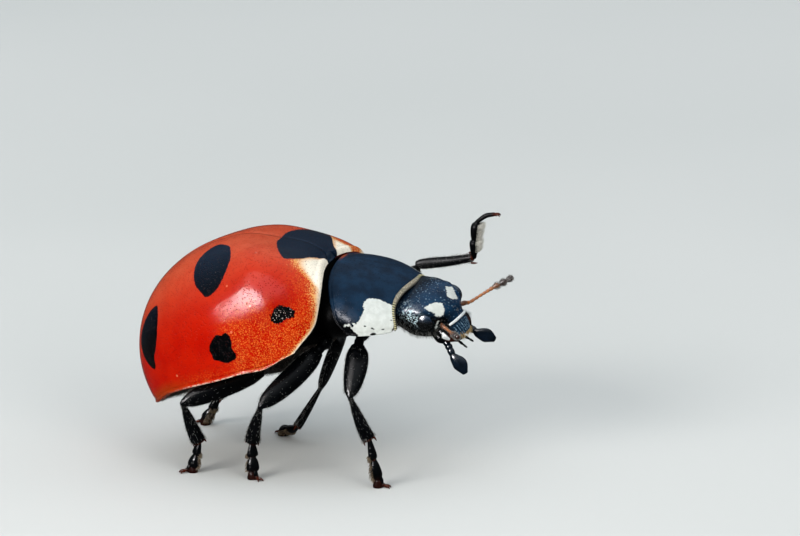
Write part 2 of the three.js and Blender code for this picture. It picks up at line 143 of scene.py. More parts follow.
def piece(name, V, F, material, attrs=None, uv=None, nodes=(), weld=False, flat=False, closed=True):
    """A mesh object from points in the row frame (mm) and faces, riding on the root."""
    F = [f for f in (F if isinstance(F, list) else [F]) if len(f)]
    V = np.array(V, float)
    V[:, 2] = np.maximum(V[:, 2], 0.0)  # nothing reaches below the floor
    if closed and volume(V, F) < 0:
        F = [f[:, ::-1] for f in F]
    sizes = np.concatenate([np.full(len(f), f.shape[1]) for f in F])
    loops = np.concatenate([f.ravel() for f in F]).astype(np.int32)
    starts = np.concatenate([[0], np.cumsum(sizes)[:-1]]).astype(np.int32)
    me = bpy.data.meshes.new(name)
    me.vertices.add(len(V))
    me.vertices.foreach_set("co", (np.asarray(V, np.float64) * MM).astype(np.float32).ravel())
    me.loops.add(len(loops))
    me.loops.foreach_set("vertex_index", loops)
    me.polygons.add(len(sizes))
    me.polygons.foreach_set("loop_start", starts)
    me.polygons.foreach_set("use_smooth", np.full(len(sizes), not flat))
    me.update(calc_edges=True)
    for key, values in (attrs or {}).items():
        a = me.attributes.new(key, "FLOAT", "POINT")
        a.data.foreach_set("value", np.asarray(values, np.float32).ravel())
    if uv is not None:
        layer = me.uv_layers.new(name="OFBake")
        layer.data.foreach_set("uv", np.asarray(uv, np.float32)[loops].ravel())
    me.validate()
    if weld:
        bm = bmesh.new()
        bm.from_mesh(me)
        bmesh.ops.remove_doubles(bm, verts=bm.verts, dist=2e-7)
        bmesh.ops.dissolve_degenerate(bm, edges=bm.edges, dist=1e-7)
        bm.to_mesh(me)
        bm.free()
        me.update()
    me.materials.append(material)
    ob = bpy.data.objects.new(name, me)
    bpy.context.scene.collection.objects.link(ob)
    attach(ob, "root")
    if nodes:
        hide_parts(*nodes)
    return ob


def join(parts):
    """Several (V, F list, attrs) made one."""
    V, F, A, n = [], [], {}, 0
    keys = set(k for p in parts for k in p[2])
    for v, f, a in parts:
        V.append(v)
        F += [g + n for g in (f if isinstance(f, list) else [f])]
        for k in keys:
            A.setdefault(k, []).append(np.broadcast_to(np.asarray(a.get(k, 0.0), float).ravel(), (len(v),)) if np.size(a.get(k, 0.0)) == 1
                                       else np.asarray(a[k], float).ravel())
        n += len(v)
    return np.concatenate(V), F, {k: np.concatenate(x) for k, x in A.items()}


def plate(O, I, lip=0.03, steps=4):
    """A closed plate between an outer and an inner grid of the same size, with rounded edges.
    Returns points, faces and, for each point, the index of the outer point whose marks it takes."""
    nu, nv = O.shape[:2]
    V = [O.reshape(-1, 3), I.reshape(-1, 3)]
    src = [np.arange(nu * nv), np.arange(nu * nv)]
    F = [grid_faces(nu, nv), grid_faces(nu, nv, nu * nv)[:, ::-1]]
    # the border as one closed loop of outer indices, and the direction out of the plate along it
    idx = np.arange(nu * nv).reshape(nu, nv)
    loop = np.concatenate([idx[0, :-1], idx[:-1, -1], idx[-1, :0:-1], idx[:0:-1, 0]])
    inward = np.concatenate([idx[1, :-1], idx[:-1, -2], idx[-2, :0:-1], idx[:0:-1, 1]])
    out = unit(O.reshape(-1, 3)[loop] - O.reshape(-1, 3)[inward])
    a, b = O.reshape(-1, 3)[loop], I.reshape(-1, 3)[loop]
    n = len(loop)
    rows = [loop]
    base = 2 * nu * nv
    for k in range(1, steps):
        s = k / steps
        V.append(a + (b - a) * (0.5 - 0.5 * math.cos(math.pi * s)) + out * lip * math.sin(math.pi * s))
        src.append(loop)
        rows.append(np.arange(base, base + n))
        base += n
    rows.append(loop + nu * nv)
    for r0, r1 in zip(rows[:-1], rows[1:]):
        F.append(np.stack([r0, np.roll(r0, -1), np.roll(r1, -1), r1], -1)[:, ::-1])
    return np.concatenate(V), F, np.concatenate(src)


def tube(path, a, b=None, ref=(0, 0, 1), n=40, sides=24, caps=(0.8, 0.8), power=1.0, wobble=None):
    """A limb through a few stations: half widths a along ref and b beside it. Ends are rounded.
    Returns a dict with points, faces, and u (along), w (round) and the local axes of each ring."""
    path = np.asarray(path, float)
    a = np.asarray(a, float)
    b = a if b is None else np.asarray(b, float)
    k = np.arange(len(path), dtype=float)
    s = np.linspace(0, len(path) - 1, n)
    C = curve(np.column_stack([k, path]))(s)
    ra, rb = curve(np.column_stack([k, a]))(s), curve(np.column_stack([k, b]))(s)
    ra, rb = np.maximum(ra, 0.004), np.maximum(rb, 0.004)
    T = unit(np.gradient(C, axis=0))
    R = np.zeros_like(T)
    r = np.asarray(ref, float)
    for i in range(n):
        r = r - T[i] * (r @ T[i])
        r = r / np.linalg.norm(r)
        R[i] = r
    u = s / s[-1]
    # round caps
    def cap(i, sign, size):
        if size <= 0:
            return []
        out = []
        for q in np.linspace(math.pi / 2, 0, 6)[1:-1]:
            out.append((C[i] + sign * T[i] * size * min(ra[i], rb[i]) * math.cos(q), ra[i] * math.sin(q), rb[i] * math.sin(q), T[i], R[i], u[i]))
        return out
    rings = cap(0, -1, caps[0])[::-1] + [(C[i], ra[i], rb[i], T[i], R[i], u[i]) for i in range(n)] + cap(n - 1, 1, caps[1])
    w = np.arange(sides) / sides * 2 * math.pi
    cw, sw = np.cos(w), np.sin(w)
    if power != 1.0:
        cw, sw = np.sign(cw) * np.abs(cw) ** power, np.sign(sw) * np.abs(sw) ** power
    V, U, Wt = [], [], []
    for c, x, y, t, rr, uu in rings:
        side = np.cross(t, rr)
        k = 1.0 if wobble is None else wobble(uu, w)
        k = np.broadcast_to(k, w.shape)
        V.append(c + np.outer(x * cw * k, rr) + np.outer(y * sw * k, side))
        U.append(np.full(sides, uu))
        Wt.append(w)
    m = len(rings)
    V = np.concatenate(V)
    p0 = C[0] - T[0] * max(caps[0], 0) * min(ra[0], rb[0])
    p1 = C[-1] + T[-1] * max(caps[1], 0) * min(ra[-1], rb[-1])
    F = [grid_faces(m, sides, wrap=True)]
    n0 = len(V)
    V = np.concatenate([V, [p0, p1]])
    j = np.arange(sides)
    F.append(np.stack([j, (j + 1) % sides, np.full(sides, n0)], -1)[:, ::-1][:, ::-1])
    F[-1] = np.stack([np.full(sides, n0), j, (j + 1) % sides], -1)
    last = (m - 1) * sides
    F.append(np.stack([np.full(sides, n0 + 1), last + (j + 1) % sides, last + j], -1))
    return {"V": V, "F": F, "u": np.concatenate(U + [[0.0, 1.0]]), "w": np.concatenate(Wt + [[0.0, 0.0]]),
            "C": C, "T": T, "R": R, "a": ra, "b": rb, "s": u, "power": power}


def on_tube(tb, u, w):
    """Point, outward normal, lengthwise direction on a tube at u, w."""
    i = np.clip(u * (len(tb["s"]) - 1), 0, len(tb["s"]) - 1.001)
    k = i.astype(int)
    f = (i - k)[:, None]
    g = lambda q: q[k] * (1 - f) + q[k + 1] * f
    C, T, R = g(tb["C"]), unit(g(tb["T"])), unit(g(tb["R"]))
    a = (tb["a"][k] * (1 - f[:, 0]) + tb["a"][k + 1] * f[:, 0])[:, None]
    b = (tb["b"][k] * (1 - f[:, 0]) + tb["b"][k + 1] * f[:, 0])[:, None]
    S = np.cross(T, R)
    c, s = np.cos(w)[:, None], np.sin(w)[:, None]
    if tb["power"] != 1.0:
        c2, s2 = np.sign(c) * np.abs(c) ** tb["power"], np.sign(s) * np.abs(s) ** tb["power"]
    else:
        c2, s2 = c, s
    P = C + R * a * c2 + S * b * s2
    N = unit(R * c / a + S * s / b)
    return P, N, T


class Coat:
    """Collects hairs, each a thin bent solid of three sides, into one piece."""

    def __init__(self, name, material, slot=None):
        self.name, self.material, self.slot = name, material, slot
        self.V, self.F, self.UV, self.tip, self.n = [], [], [], [], 0

    def add(self, root, direction, droop, length, width, uv):
        """root, direction (n,3); droop (n,3) is where the tip bends to; length, width (n,); uv (n,2) roots on the skin's unwrap."""
        root, direction, droop = (np.asarray(x, float) for x in (root, direction, droop))
        k = len(root)
        length = np.broadcast_to(length, (k,))[:, None]
        width = np.broadcast_to(width, (k,))[:, None]
        d0 = unit(direction)
        side = unit(np.cross(d0, RNG.normal(size=(k, 3))))
        other = np.cross(d0, side)
        mid = root + d0 * length * 0.5
        tip = mid + unit(d0 + droop) * length * 0.5
        rings = []
        for c, r in ((root - d0 * 0.01, 1.0), (mid, 0.72)):
            for q in range(3):
                g = 2 * math.pi * q / 3
                rings.append(c + (side * math.cos(g) + other * math.sin(g)) * width * r)
        rings.append(tip)
        pts = np.stack(rings, 1)  # (k, 7, 3)
        base = self.n + 7 * np.arange(k)[:, None]
        f = []
        for q in range(3):
            r = (q + 1) % 3
            f += [[q, r, 3 + r], [q, 3 + r, 3 + q], [3 + q, 3 + r, 6]]
        f.append([2, 1, 0])
        self.V.append(pts.reshape(-1, 3))
        self.F.append((base[:, :, None] + np.array(f)[None]).reshape(-1, 3))
        corner = np.array([[0, 0], [1, 0], [0.5, 0.3], [0, 0.6], [1, 0.6], [0.5, 0.7], [0.5, 1.0]]) * 0.003
        self.UV.append((np.asarray(uv)[:, None, :] * 0.99 + corner[None]).reshape(-1, 2))
        self.tip.append(np.tile([0, 0, 0, 0.5, 0.5, 0.5, 1.0], k))
        self.n += 7 * k

    def finish(self):
        if self.n:
            piece(self.name, np.concatenate(self.V), [np.concatenate(self.F)], self.material,
                  {"tip": np.concatenate(self.tip)}, np.concatenate(self.UV), closed=False)


# ---------------------------------------------------------------------------------------------
# Materials
# ---------------------------------------------------------------------------------------------
def lin(r, g, b):
    """A colour given as it looks on a screen, 0 to 255."""
    return tuple(((c / 255) / 12.92 if c / 255 <= 0.04045 else ((c / 255 + 0.055) / 1.055) ** 2.4) for c in (r, g, b)) + (1.0,)


class Nodes:
    """Short names for the shader nodes used here."""

    def __init__(self, name):
        self.m = bpy.data.materials.new(name)
        self.m.use_nodes = True
        self.t = self.m.node_tree
        self.t.nodes.clear()
        self.out = self.t.nodes.new("ShaderNodeOutputMaterial")
        self.p = self.t.nodes.new("ShaderNodeBsdfPrincipled")
        self.t.links.new(self.p.outputs[0], self.out.inputs[0])
        self.coord = self.t.nodes.new("ShaderNodeTexCoord").outputs["Object"]

    def set(self, **k):
        for key, v in k.items():
            self.p.inputs[key.replace("_", " ")].default_value = v
        return self

    def link(self, a, b):
        self.t.links.new(a, b)

    def put(self, socket, value):
        if hasattr(value, "is_output") or isinstance(value, bpy.types.NodeSocket):
            self.link(value, socket)
        else:
            socket.default_value = value

    def attr(self, name):
        n = self.t.nodes.new("ShaderNodeAttribute")
        n.attribute_name = name
        return n.outputs["Fac"]

    def noise(self, size_mm, detail=3.0, rough=0.55, offset=None, distort=0.0):
        n = self.t.nodes.new("ShaderNodeTexNoise")
        n.inputs["Scale"].default_value = 1.0 / (size_mm * MM)
        n.inputs["Detail"].default_value = detail
        n.inputs["Roughness"].default_value = rough
        n.inputs["Distortion"].default_value = distort
        self.link(self.coord if offset is None else self.move(offset), n.inputs["Vector"])
        return n.outputs["Fac"]

    def move(self, offset):
        n = self.t.nodes.new("ShaderNodeMapping")
        n.inputs["Location"].default_value = offset
        self.link(self.coord, n.inputs["Vector"])
        return n.outputs["Vector"]

    def voronoi(self, size_mm, feature="F1", out="Distance", random=1.0):
        n = self.t.nodes.new("ShaderNodeTexVoronoi")
        n.feature = feature
        n.inputs["Scale"].default_value = 1.0 / (size_mm * MM)
        n.inputs["Randomness"].default_value = random
        self.link(self.coord, n.inputs["Vector"])
        return n.outputs[out]

    def math(self, op, a, b=0.0, clamp=False):
        n = self.t.nodes.new("ShaderNodeMath")
        n.operation = op
        n.use_clamp = clamp
        self.put(n.inputs[0], a)
        self.put(n.inputs[1], b)
        return n.outputs[0]

    def span(self, v, a, b, c=0.0, d=1.0, soft=True):
        n = self.t.nodes.new("ShaderNodeMapRange")
        n.interpolation_type = "SMOOTHSTEP" if soft else "LINEAR"
        self.put(n.inputs["Value"], v)
        for key, x in (("From Min", a), ("From Max", b), ("To Min", c), ("To Max", d)):
            self.put(n.inputs[key], x)
        return n.outputs[0]

    def blend(self, k, a, b, mode="MIX"):
        n = self.t.nodes.new("ShaderNodeMix")
        n.data_type = "RGBA"
        n.blend_type = mode
        self.put(n.inputs[0], k)
        self.put(n.inputs[6], a)
        self.put(n.inputs[7], b)
        return n.outputs[2]

    def bump(self, height, strength, distance_mm, normal=None):
        n = self.t.nodes.new("ShaderNodeBump")
        n.inputs["Strength"].default_value = strength
        n.inputs["Distance"].default_value = distance_mm * MM
        self.put(n.inputs["Height"], height)
        if normal is not None:
            self.link(normal, n.inputs["Normal"])
        return n.outputs[0]

    def done(self, color=None, rough=None, normal=None):
        if color is not None:
            self.put(self.p.inputs["Base Color"], color)
        if rough is not None:
            self.put(self.p.inputs["Roughness"], rough)
        if normal is not None:
            self.link(normal, self.p.inputs["Normal"])
            self.link(normal, self.p.inputs["Coat Normal"])
        return self.m


INK = lin(14, 16, 22)
CREAM = lin(240, 226, 196)
WHITE = lin(232, 230, 224)


def wing_material():
    n = Nodes("wing_case_cuticle")
    n.set(IOR=1.5, Specular_IOR_Level=0.07)
    spot, small, hem, front, pale, speck, halo = (n.attr(k) for k in ("spot", "small", "hem", "front", "pale", "speck", "halo"))
    # small pits all over, each a dark dot seen in the shine
    pit = n.span(n.voronoi(0.058), 0.16, 0.36)  # 0 in a pit
    grain = n.noise(0.03, 2.0)
    upper = n.attr("upper")
    red = n.blend(n.span(n.noise(0.55, 3.0), 0.3, 0.7), lin(168, 12, 1), lin(178, 22, 3))
    # painted sky sheen: the red turns paler salmon high on the vault (upper), standing in for the sky mirrored in the
    # gloss
    red = n.blend(upper, red, n.blend(n.span(n.noise(0.4, 3.0), 0.3, 0.7), lin(182, 66, 38), lin(190, 78, 48)))
    # orange grains under the clear skin towards the shoulder and the lower front
    fine = n.noise(0.030, 1.2, 0.5, (0.01, 0.02, 0.0))
    coarse = n.noise(0.3, 2.0, 0.5, (0.05, 0.0, 0.01))
    grains = n.span(n.math("ADD", fine, n.math("MULTIPLY", n.math("SUBTRACT", coarse, 0.5), 0.30)), 0.51, 0.59)
    grains = n.math("MAXIMUM", n.math("MULTIPLY", grains, 0.45), n.math("MULTIPLY", n.span(n.voronoi(0.044), 0.26, 0.46, 1.0, 0.0), n.span(coarse, 0.28, 0.46)))
    red = n.blend(n.math("MULTIPLY", halo, 0.85), red, lin(152, 10, 1))
    red = n.blend(n.math("MULTIPLY", n.math("MULTIPLY", speck, grains), 0.85), red, lin(210, 106, 38))
    # the cream shoulder patch breaks up into grains at its edge
    edge = n.math("ADD", pale, n.math("MULTIPLY", n.math("SUBTRACT", fine, 0.5), 1.1))
    cream = n.blend(n.span(pale, 0.5, 0.9), lin(216, 158, 90), lin(240, 230, 212))
    red = n.blend(n.span(edge, 0.36, 0.62), red, cream)
    dots = n.span(n.voronoi(0.11), 0.09, 0.16, 1.0, 0.0)
    red = n.blend(n.math("MULTIPLY", n.math("MULTIPLY", dots, n.span(pale, 0.3, 0.5)), n.span(pale, 1.0, 0.8, 0.0, 0.8)), red, lin(96, 36, 14))
    # the bead along the rim, and the front edge's thickness painted dark red-brown as shade
    bead = n.math("MULTIPLY", n.span(hem, 0.07, 0.03), n.span(n.noise(0.05, 2.0), 0.40, 0.60))
    bead = n.math("MULTIPLY", bead, n.attr("rimlight"))
    red = n.blend(n.math("MULTIPLY", bead, 0.95), red, lin(236, 214, 194))
    red = n.blend(n.span(front, 0.012, 0.0), red, lin(96, 26, 12))
    # the tip is browner
    tail = n.math("MULTIPLY", n.math("SUBTRACT", 1.0, n.attr("rimlight")), n.span(hem, 0.40, 0.04))
    red = n.blend(n.math("MULTIPLY", tail, 0.7), red, lin(150, 62, 14))
    # sparse pale and dark dots
    rare = n.voronoi(0.55)
    red = n.blend(n.span(rare, 0.045, 0.065, 0.65, 0.0), red, lin(205, 124, 90))
    # black spots with slightly ragged edges; the smallest is broken by red and pale grains
    ragged = n.math("ADD", spot, n.math("MULTIPLY", n.math("SUBTRACT", n.noise(0.06, 2.0), 0.5), 0.05))
    black = n.span(ragged, -0.010, 0.012, 1.0, 0.0)
    # the spots are black; the dark blue on their upper parts is a painted sky reflection
    spot_black_and_sheen = n.blend(n.math("POWER", upper, 1.5), lin(2, 3, 4), lin(9, 26, 44))
    color = n.blend(black, red, spot_black_and_sheen)
    torn = n.math("ADD", small, n.math("MULTIPLY", n.math("SUBTRACT", n.noise(0.05, 2.5), 0.5), 0.16))
    color = n.blend(n.span(torn, -0.010, 0.012, 1.0, 0.0), color, lin(3, 5, 6))
    flecks = n.math("MULTIPLY", n.span(n.voronoi(0.045), 0.16, 0.26, 1.0, 0.0), n.span(small, -0.03, 0.0, 1.0, 0.0))
    color = n.blend(n.math("MULTIPLY", flecks, 0.8), color, lin(206, 190, 182))
    # painted shade in the pits: each pit is darkened in the colour as well as sunk by the bump
    color = n.blend(n.math("MULTIPLY", n.math("SUBTRACT", 1.0, pit), 0.25), color, lin(60, 8, 4))
    h = n.math("ADD", n.math("MULTIPLY", pit, 0.8), n.math("MULTIPLY", grain, 0.16))
    return n.done(color, n.span(grain, 0.3, 0.7, 0.06, 0.10), n.bump(h, 1.0, 0.013))


def black_material(name, painted_sky_sheen=0.0, pits=0.07, depth=0.5, rough=0.25, marks=False, edge=False, sheen=False, dots=False, spec=0.10):
    n = Nodes(name)
    n.set(IOR=1.5, Specular_IOR_Level=spec)
    cells = n.voronoi(pits)
    pit = n.span(cells, 0.14, 0.36)
    grain = n.noise(0.025, 2.0)
    # the dark blue in the base colour is a painted sky reflection; its strength is the second argument
    color = n.blend(n.span(n.noise(0.4, 2.0), 0.3, 0.7), lin(4 + 6 * painted_sky_sheen, 5 + 24 * painted_sky_sheen, 6 + 42 * painted_sky_sheen), lin(5 + 12 * painted_sky_sheen, 6 + 38 * painted_sky_sheen, 8 + 60 * painted_sky_sheen))
    if sheen:
        # painted sheen: the blue stays where the surface looks up and turns black where it looks down
        color = n.blend(n.attr("sheen"), lin(3, 4, 5), color)
    if dots:
        # painted glints: pale dots in the punctures on faces that look up, crowding into a painted sparkle on the
        # temple
        few = n.math("MULTIPLY", n.span(n.voronoi(0.082), 0.13, 0.24, 1.0, 0.0), n.span(n.noise(0.25, 2.0), 0.32, 0.50))
        many = n.math("MULTIPLY", n.span(n.noise(0.044, 2.0, 0.6, (0.02, 0.01, 0.03)), 0.51, 0.57), n.attr("temple"))
        color = n.blend(n.math("MULTIPLY", few, n.span(n.attr("sheen"), 0.2, 0.7, 0.1, 0.75)), color, lin(132, 162, 184))
        color = n.blend(many, color, lin(206, 230, 238))
    if edge:
        color = n.blend(n.math("MULTIPLY", n.attr("edge"), n.span(n.noise(0.05, 2.0, 0.6), 0.38, 0.6)), color, lin(176, 168, 150))
        color = n.blend(n.attr("brown"), color, lin(150, 62, 26))
    if marks:
        white = n.attr("white")
        ragged = n.math("ADD", white, n.math("MULTIPLY", n.math("SUBTRACT", n.noise(0.045, 2.0), 0.5), 0.09))
        mark = n.span(ragged, -0.008, 0.01)
        pale = n.blend(n.span(n.noise(0.12, 3.0), 0.35, 0.7), lin(192, 195, 190), lin(204, 207, 202))
        color = n.blend(mark, color, pale)
        specks = n.attr("speckle")
        color = n.blend(specks, color, lin(16, 14, 14))
    h = n.math("ADD", n.math("MULTIPLY", pit, 0.7), n.math("MULTIPLY", grain, 0.35))
    return n.done(color, n.span(grain, 0.3, 0.7, rough * 0.8, rough * 1.3), n.bump(h, depth, 0.008))


def leg_material(name, spec=0.12, rough=0.11):
    n = Nodes(name)
    n.set(IOR=1.5, Specular_IOR_Level=spec)
    grain = n.noise(0.03, 3.0, 0.6)
    rows = n.voronoi(0.045)
    color = n.blend(n.span(n.noise(0.25, 2.0), 0.3, 0.7), lin(2, 3, 4), lin(5, 6, 8))
    tint = n.attr("tint")
    color = n.blend(n.span(tint, 0.15, 0.6), color, lin(70, 26, 10))
    color = n.blend(n.span(tint, 0.6, 1.0), color, lin(150, 78, 30))
    h = n.math("ADD", n.math("MULTIPLY", n.span(rows, 0.1, 0.4), 0.6), n.math("MULTIPLY", grain, 0.5))
    return n.done(color, n.span(grain, 0.3, 0.7, rough, rough * 1.6), n.bump(h, 0.6, 0.008))


def palp_material():
    n = Nodes("jaw_feeler_cuticle")
    n.set(IOR=1.5, Specular_IOR_Level=0.3)
    grain = n.noise(0.03, 3.0, 0.6)
    # the dark blue of the base is a painted sky reflection
    color = n.blend(n.span(n.noise(0.25, 2.0), 0.3, 0.7), lin(4, 9, 15), lin(9, 20, 32))
    return n.done(color, n.span(grain, 0.3, 0.7, 0.08, 0.14), n.bump(grain, 0.5, 0.006))


def under_material():
    n = Nodes("underside_cuticle")
    n.set(IOR=1.5, Specular_IOR_Level=0.04)
    cells = n.voronoi(0.06)
    grain = n.noise(0.03, 3.0, 0.6)
    tone = n.blend(n.span(n.noise(0.5, 3.0), 0.3, 0.7), lin(2, 2, 2), lin(5, 5, 5))
    tone = n.blend(n.math("MULTIPLY", n.attr("tint"), 0.6), tone, lin(90, 30, 14))
    h = n.math("ADD", n.math("MULTIPLY", n.span(cells, 0.15, 0.4), 0.7), n.math("MULTIPLY", grain, 0.3))
    return n.done(tone, n.span(grain, 0.3, 0.7, 0.34, 0.5), n.bump(h, 0.5, 0.01))


def eye_material():
    n = Nodes("eye_lens")
    n.set(IOR=1.5, Specular_IOR_Level=0.7)
    # the dark blue is a painted sky reflection, kept where the lens looks up (sheen) and black below
    color = n.blend(n.span(n.noise(0.15, 2.0), 0.3, 0.7), lin(10, 30, 48), lin(18, 44, 68))
    color = n.blend(n.attr("sheen"), lin(3, 5, 7), color)
    color = n.blend(n.math("MULTIPLY", n.attr("facet"), 0.4), color, lin(3, 6, 10))
    return n.done(color, n.span(n.noise(0.02, 1.0), 0.3, 0.7, 0.18, 0.28))


def feeler_material():
    n = Nodes("feeler_cuticle")
    n.set(Roughness=0.35, Coat_Weight=0.2, Coat_Roughness=0.2)
    tint = n.attr("tint")
    color = n.blend(n.span(n.noise(0.05, 2.0), 0.3, 0.7), lin(126, 62, 16), lin(184, 110, 38))
    color = n.blend(n.span(tint, 0.35, 0.95), color, lin(38, 22, 18))
    color = n.blend(n.attr("ring"), color, lin(70, 34, 16))
    return n.done(color, 0.35, n.bump(n.noise(0.02, 2.0), 0.4, 0.005))


def bristle_material(name, root, tip, rough=0.45):
    n = Nodes(name)
    n.set(Roughness=rough, Specular_IOR_Level=0.4)
    color = n.blend(n.attr("tip"), root, tip)
    color = n.blend(n.span(n.noise(0.08, 1.0), 0.3, 0.7, 0.0, 0.25), color, lin(110, 104, 96))
    return n.done(color)


def pad_material():
    n = Nodes("foot_pad_hair")
    n.set(Roughness=0.5)
    color = n.blend(n.span(n.noise(0.03, 2.0), 0.35, 0.65), lin(196, 172, 120), lin(236, 226, 196))
    return n.done(color, None, n.bump(n.noise(0.012, 2.0), 0.6, 0.01))


MAT = {
    "wing": wing_material(),
    "shield": black_material("shield_cuticle", 0.9, 0.06, 1.0, 0.2, spec=0.045, marks=True, edge=True, sheen=True),
    "head": black_material("head_cuticle", 1.1, 0.05, 1.0, 0.14, marks=True, sheen=True, dots=True),
    "small": black_material("small_plate_cuticle", 0.9, 0.07, 0.35, 0.18),
    "leg": leg_material("leg_cuticle"),
    "leg_raised": leg_material("raised_leg_cuticle", 0.06, 0.3),
    "palp": palp_material(),
    "under": under_material(),
    "eye": eye_material(),
    "feeler": feeler_material(),
    "pale_hair": bristle_material("pale_hair", lin(80, 78, 72), lin(176, 176, 172)),
    "gold_hair": bristle_material("golden_hair", lin(140, 100, 50), lin(212, 192, 140)),
    "pad_hair": bristle_material("pad_hair", lin(70, 52, 30), lin(140, 118, 84)),
    "pad_pale": bristle_material("pad_pale", lin(196, 193, 180), lin(236, 234, 226)),
    "dark_hair": bristle_material("dark_hair", lin(20, 18, 18), lin(96, 84, 74)),
    "pad": pad_material(),
}

# ---------------------------------------------------------------------------------------------
# Wing cases
# ---------------------------------------------------------------------------------------------
WING = dict(length=5.75, halfWidth=2.616, height=2.929, widestAt=0.39, highestAt=0.479, baseWidth=0.779, baseHeight=0.482,
            shoulderFall=0.658, shoulderPower=3.633, tailWidthPower=2.061, tailHeightPower=2.192, sidePower=0.875, topPower=0.925,
            rimFront=-0.081, rimRise=0.105, rimSag=0.113, sagAt=0.266, sagSpan=0.103, tailDrop=0.26, tailTuck=0.09, seamDip=0.2, fullness=0.1,
            lift={1: 0.0, -1: 0.06}, forward={1: 0.28, -1: 0.1})  # the left case sits a little lower and further forward
NOTCH_REACH, NOTCH_HALF = 0.016, 0.3


def half_width(t):
    f = np.clip((WING["widestAt"] - t) / WING["widestAt"], 0, 1)
    u = np.clip((t - WING["widestAt"]) / (1 - WING["widestAt"]), 0, 1)
    return np.where(t < WING["widestAt"],
                    WING["halfWidth"] * (WING["baseWidth"] + (1 - WING["baseWidth"]) * np.sqrt(np.clip(1 - f**2.2, 0, 1))),
                    WING["halfWidth"] * np.clip(1 - u ** WING["tailWidthPower"], 0, 1) ** 0.52)


def crest(t):
    f = np.clip((WING["highestAt"] - t) / WING["highestAt"], 0, 1)
    u = np.clip((t - WING["highestAt"]) / (1 - WING["highestAt"]), 0, 1)
    h = np.where(t < WING["highestAt"],
                 WING["height"] * (WING["baseHeight"] + (1 - WING["baseHeight"]) * np.sqrt(np.clip(1 - f**2, 0, 1))),
                 WING["height"] * np.clip(1 - u ** WING["tailHeightPower"], 0, 1) ** 0.52)
    return h - WING["seamDip"] * smooth(0.34, 0.12, t) * smooth(-0.005, 0.02, t)


def rim(t):
    sag = WING["rimSag"] * np.exp(-(((t - WING["sagAt"]) / WING["sagSpan"]) ** 2))
    return WING["rimFront"] * smooth(0.42, 0, t) - sag + WING["rimRise"] * smooth(0.42, 0.72, t) - WING["tailDrop"] * smooth(0.8, 1, t)


def vault(t, v, side, inset=0.0):
    a = v * np.pi / 2
    w = half_width(t) * (WING["halfWidth"] - inset) / WING["halfWidth"]
    k = (WING["height"] - inset) / WING["height"]
    h, r = crest(t) * k, rim(t) * k
    bulge = np.sin(np.pi * v) ** 2
    lift = WING["lift"][side] * smooth(0.3, 0, t) + WING["fullness"] * np.exp(-(((t - 0.2) / 0.13) ** 2))
    x = (inset + (WING["length"] - 2 * inset) * (1 - t) - WING["shoulderFall"] * v ** WING["shoulderPower"] * (1 - t) ** 2
         + WING["forward"][side] * bulge * smooth(0.3, 0, t) * (1 - t) ** 6 + WING["tailTuck"] * v**2 * smooth(0.8, 1, t))
    y = w * np.sin(a) ** WING["sidePower"]
    z = (h - r) * (np.clip(np.cos(a), 0, 1) ** WING["topPower"] + lift * bulge)
    return np.stack(np.broadcast_arrays(x, side * y, r + z), -1)


def outline(P, side, points, places=None):
    """Signed distance (mm, inside negative) from points of a wing case to a closed smooth outline given as (t, v) pairs."""
    pts = np.array(points, float)
    n = len(pts)
    closed = curve(np.column_stack([np.arange(-2, n + 3), pts[np.arange(-2, n + 3) % n]]))
    ring = closed(np.arange(0, n, 0.2))
    ring[:, 1] = np.where(ring[:, 1] < 0.02, ring[:, 1] - 0.05, ring[:, 1])  # marks at the seam run right across it
    c = vault(ring[:, 0].mean(), np.abs(ring[:, 1]).mean(), side)
    e = 1e-3
    t0, v0 = float(ring[:, 0].mean()), float(np.abs(ring[:, 1]).mean())
    nrm = unit(np.cross(vault(np.array(t0 + e), np.array(v0), side) - vault(np.array(t0 - e), np.array(v0), side),
                        vault(np.array(t0), np.array(v0 + e), side) - vault(np.array(t0), np.array(v0 - e), side)))
    fwd = unit(np.array([1.0, 0, 0]) - nrm * nrm[0])
    up = np.cross(nrm, fwd)
    flat = lambda q: np.stack([(q - c) @ fwd, (q - c) @ up], -1)
    R = vault(ring[:, 0], np.abs(ring[:, 1]), side)
    R[:, 1] = np.where(ring[:, 1] < 0, -side * 0.1, R[:, 1])
    R = flat(R)
    out = np.full(P.shape[:-1], 1.0)
    near = np.linalg.norm(P - c, axis=-1) < 1.6 * np.linalg.norm(R, axis=1).max() + 0.3
    Q = flat(P[near])
    best, inside = np.full(len(Q), 1e9), np.zeros(len(Q), bool)
    for p, q in zip(R, np.roll(R, -1, axis=0)):
        d = q - p
        k = np.clip(((Q - p) @ d) / max(d @ d, 1e-12), 0, 1)
        best = np.minimum(best, np.linalg.norm(Q - p - k[:, None] * d, axis=1))
        crosses = (p[1] > Q[:, 1]) != (q[1] > Q[:, 1])
        x = p[0] + (Q[:, 1] - p[1]) * d[0] / (d[1] if abs(d[1]) > 1e-12 else 1e-12)
        inside ^= crosses & (Q[:, 0] < x)
    out[near] = np.where(inside, -best, best)
    return out


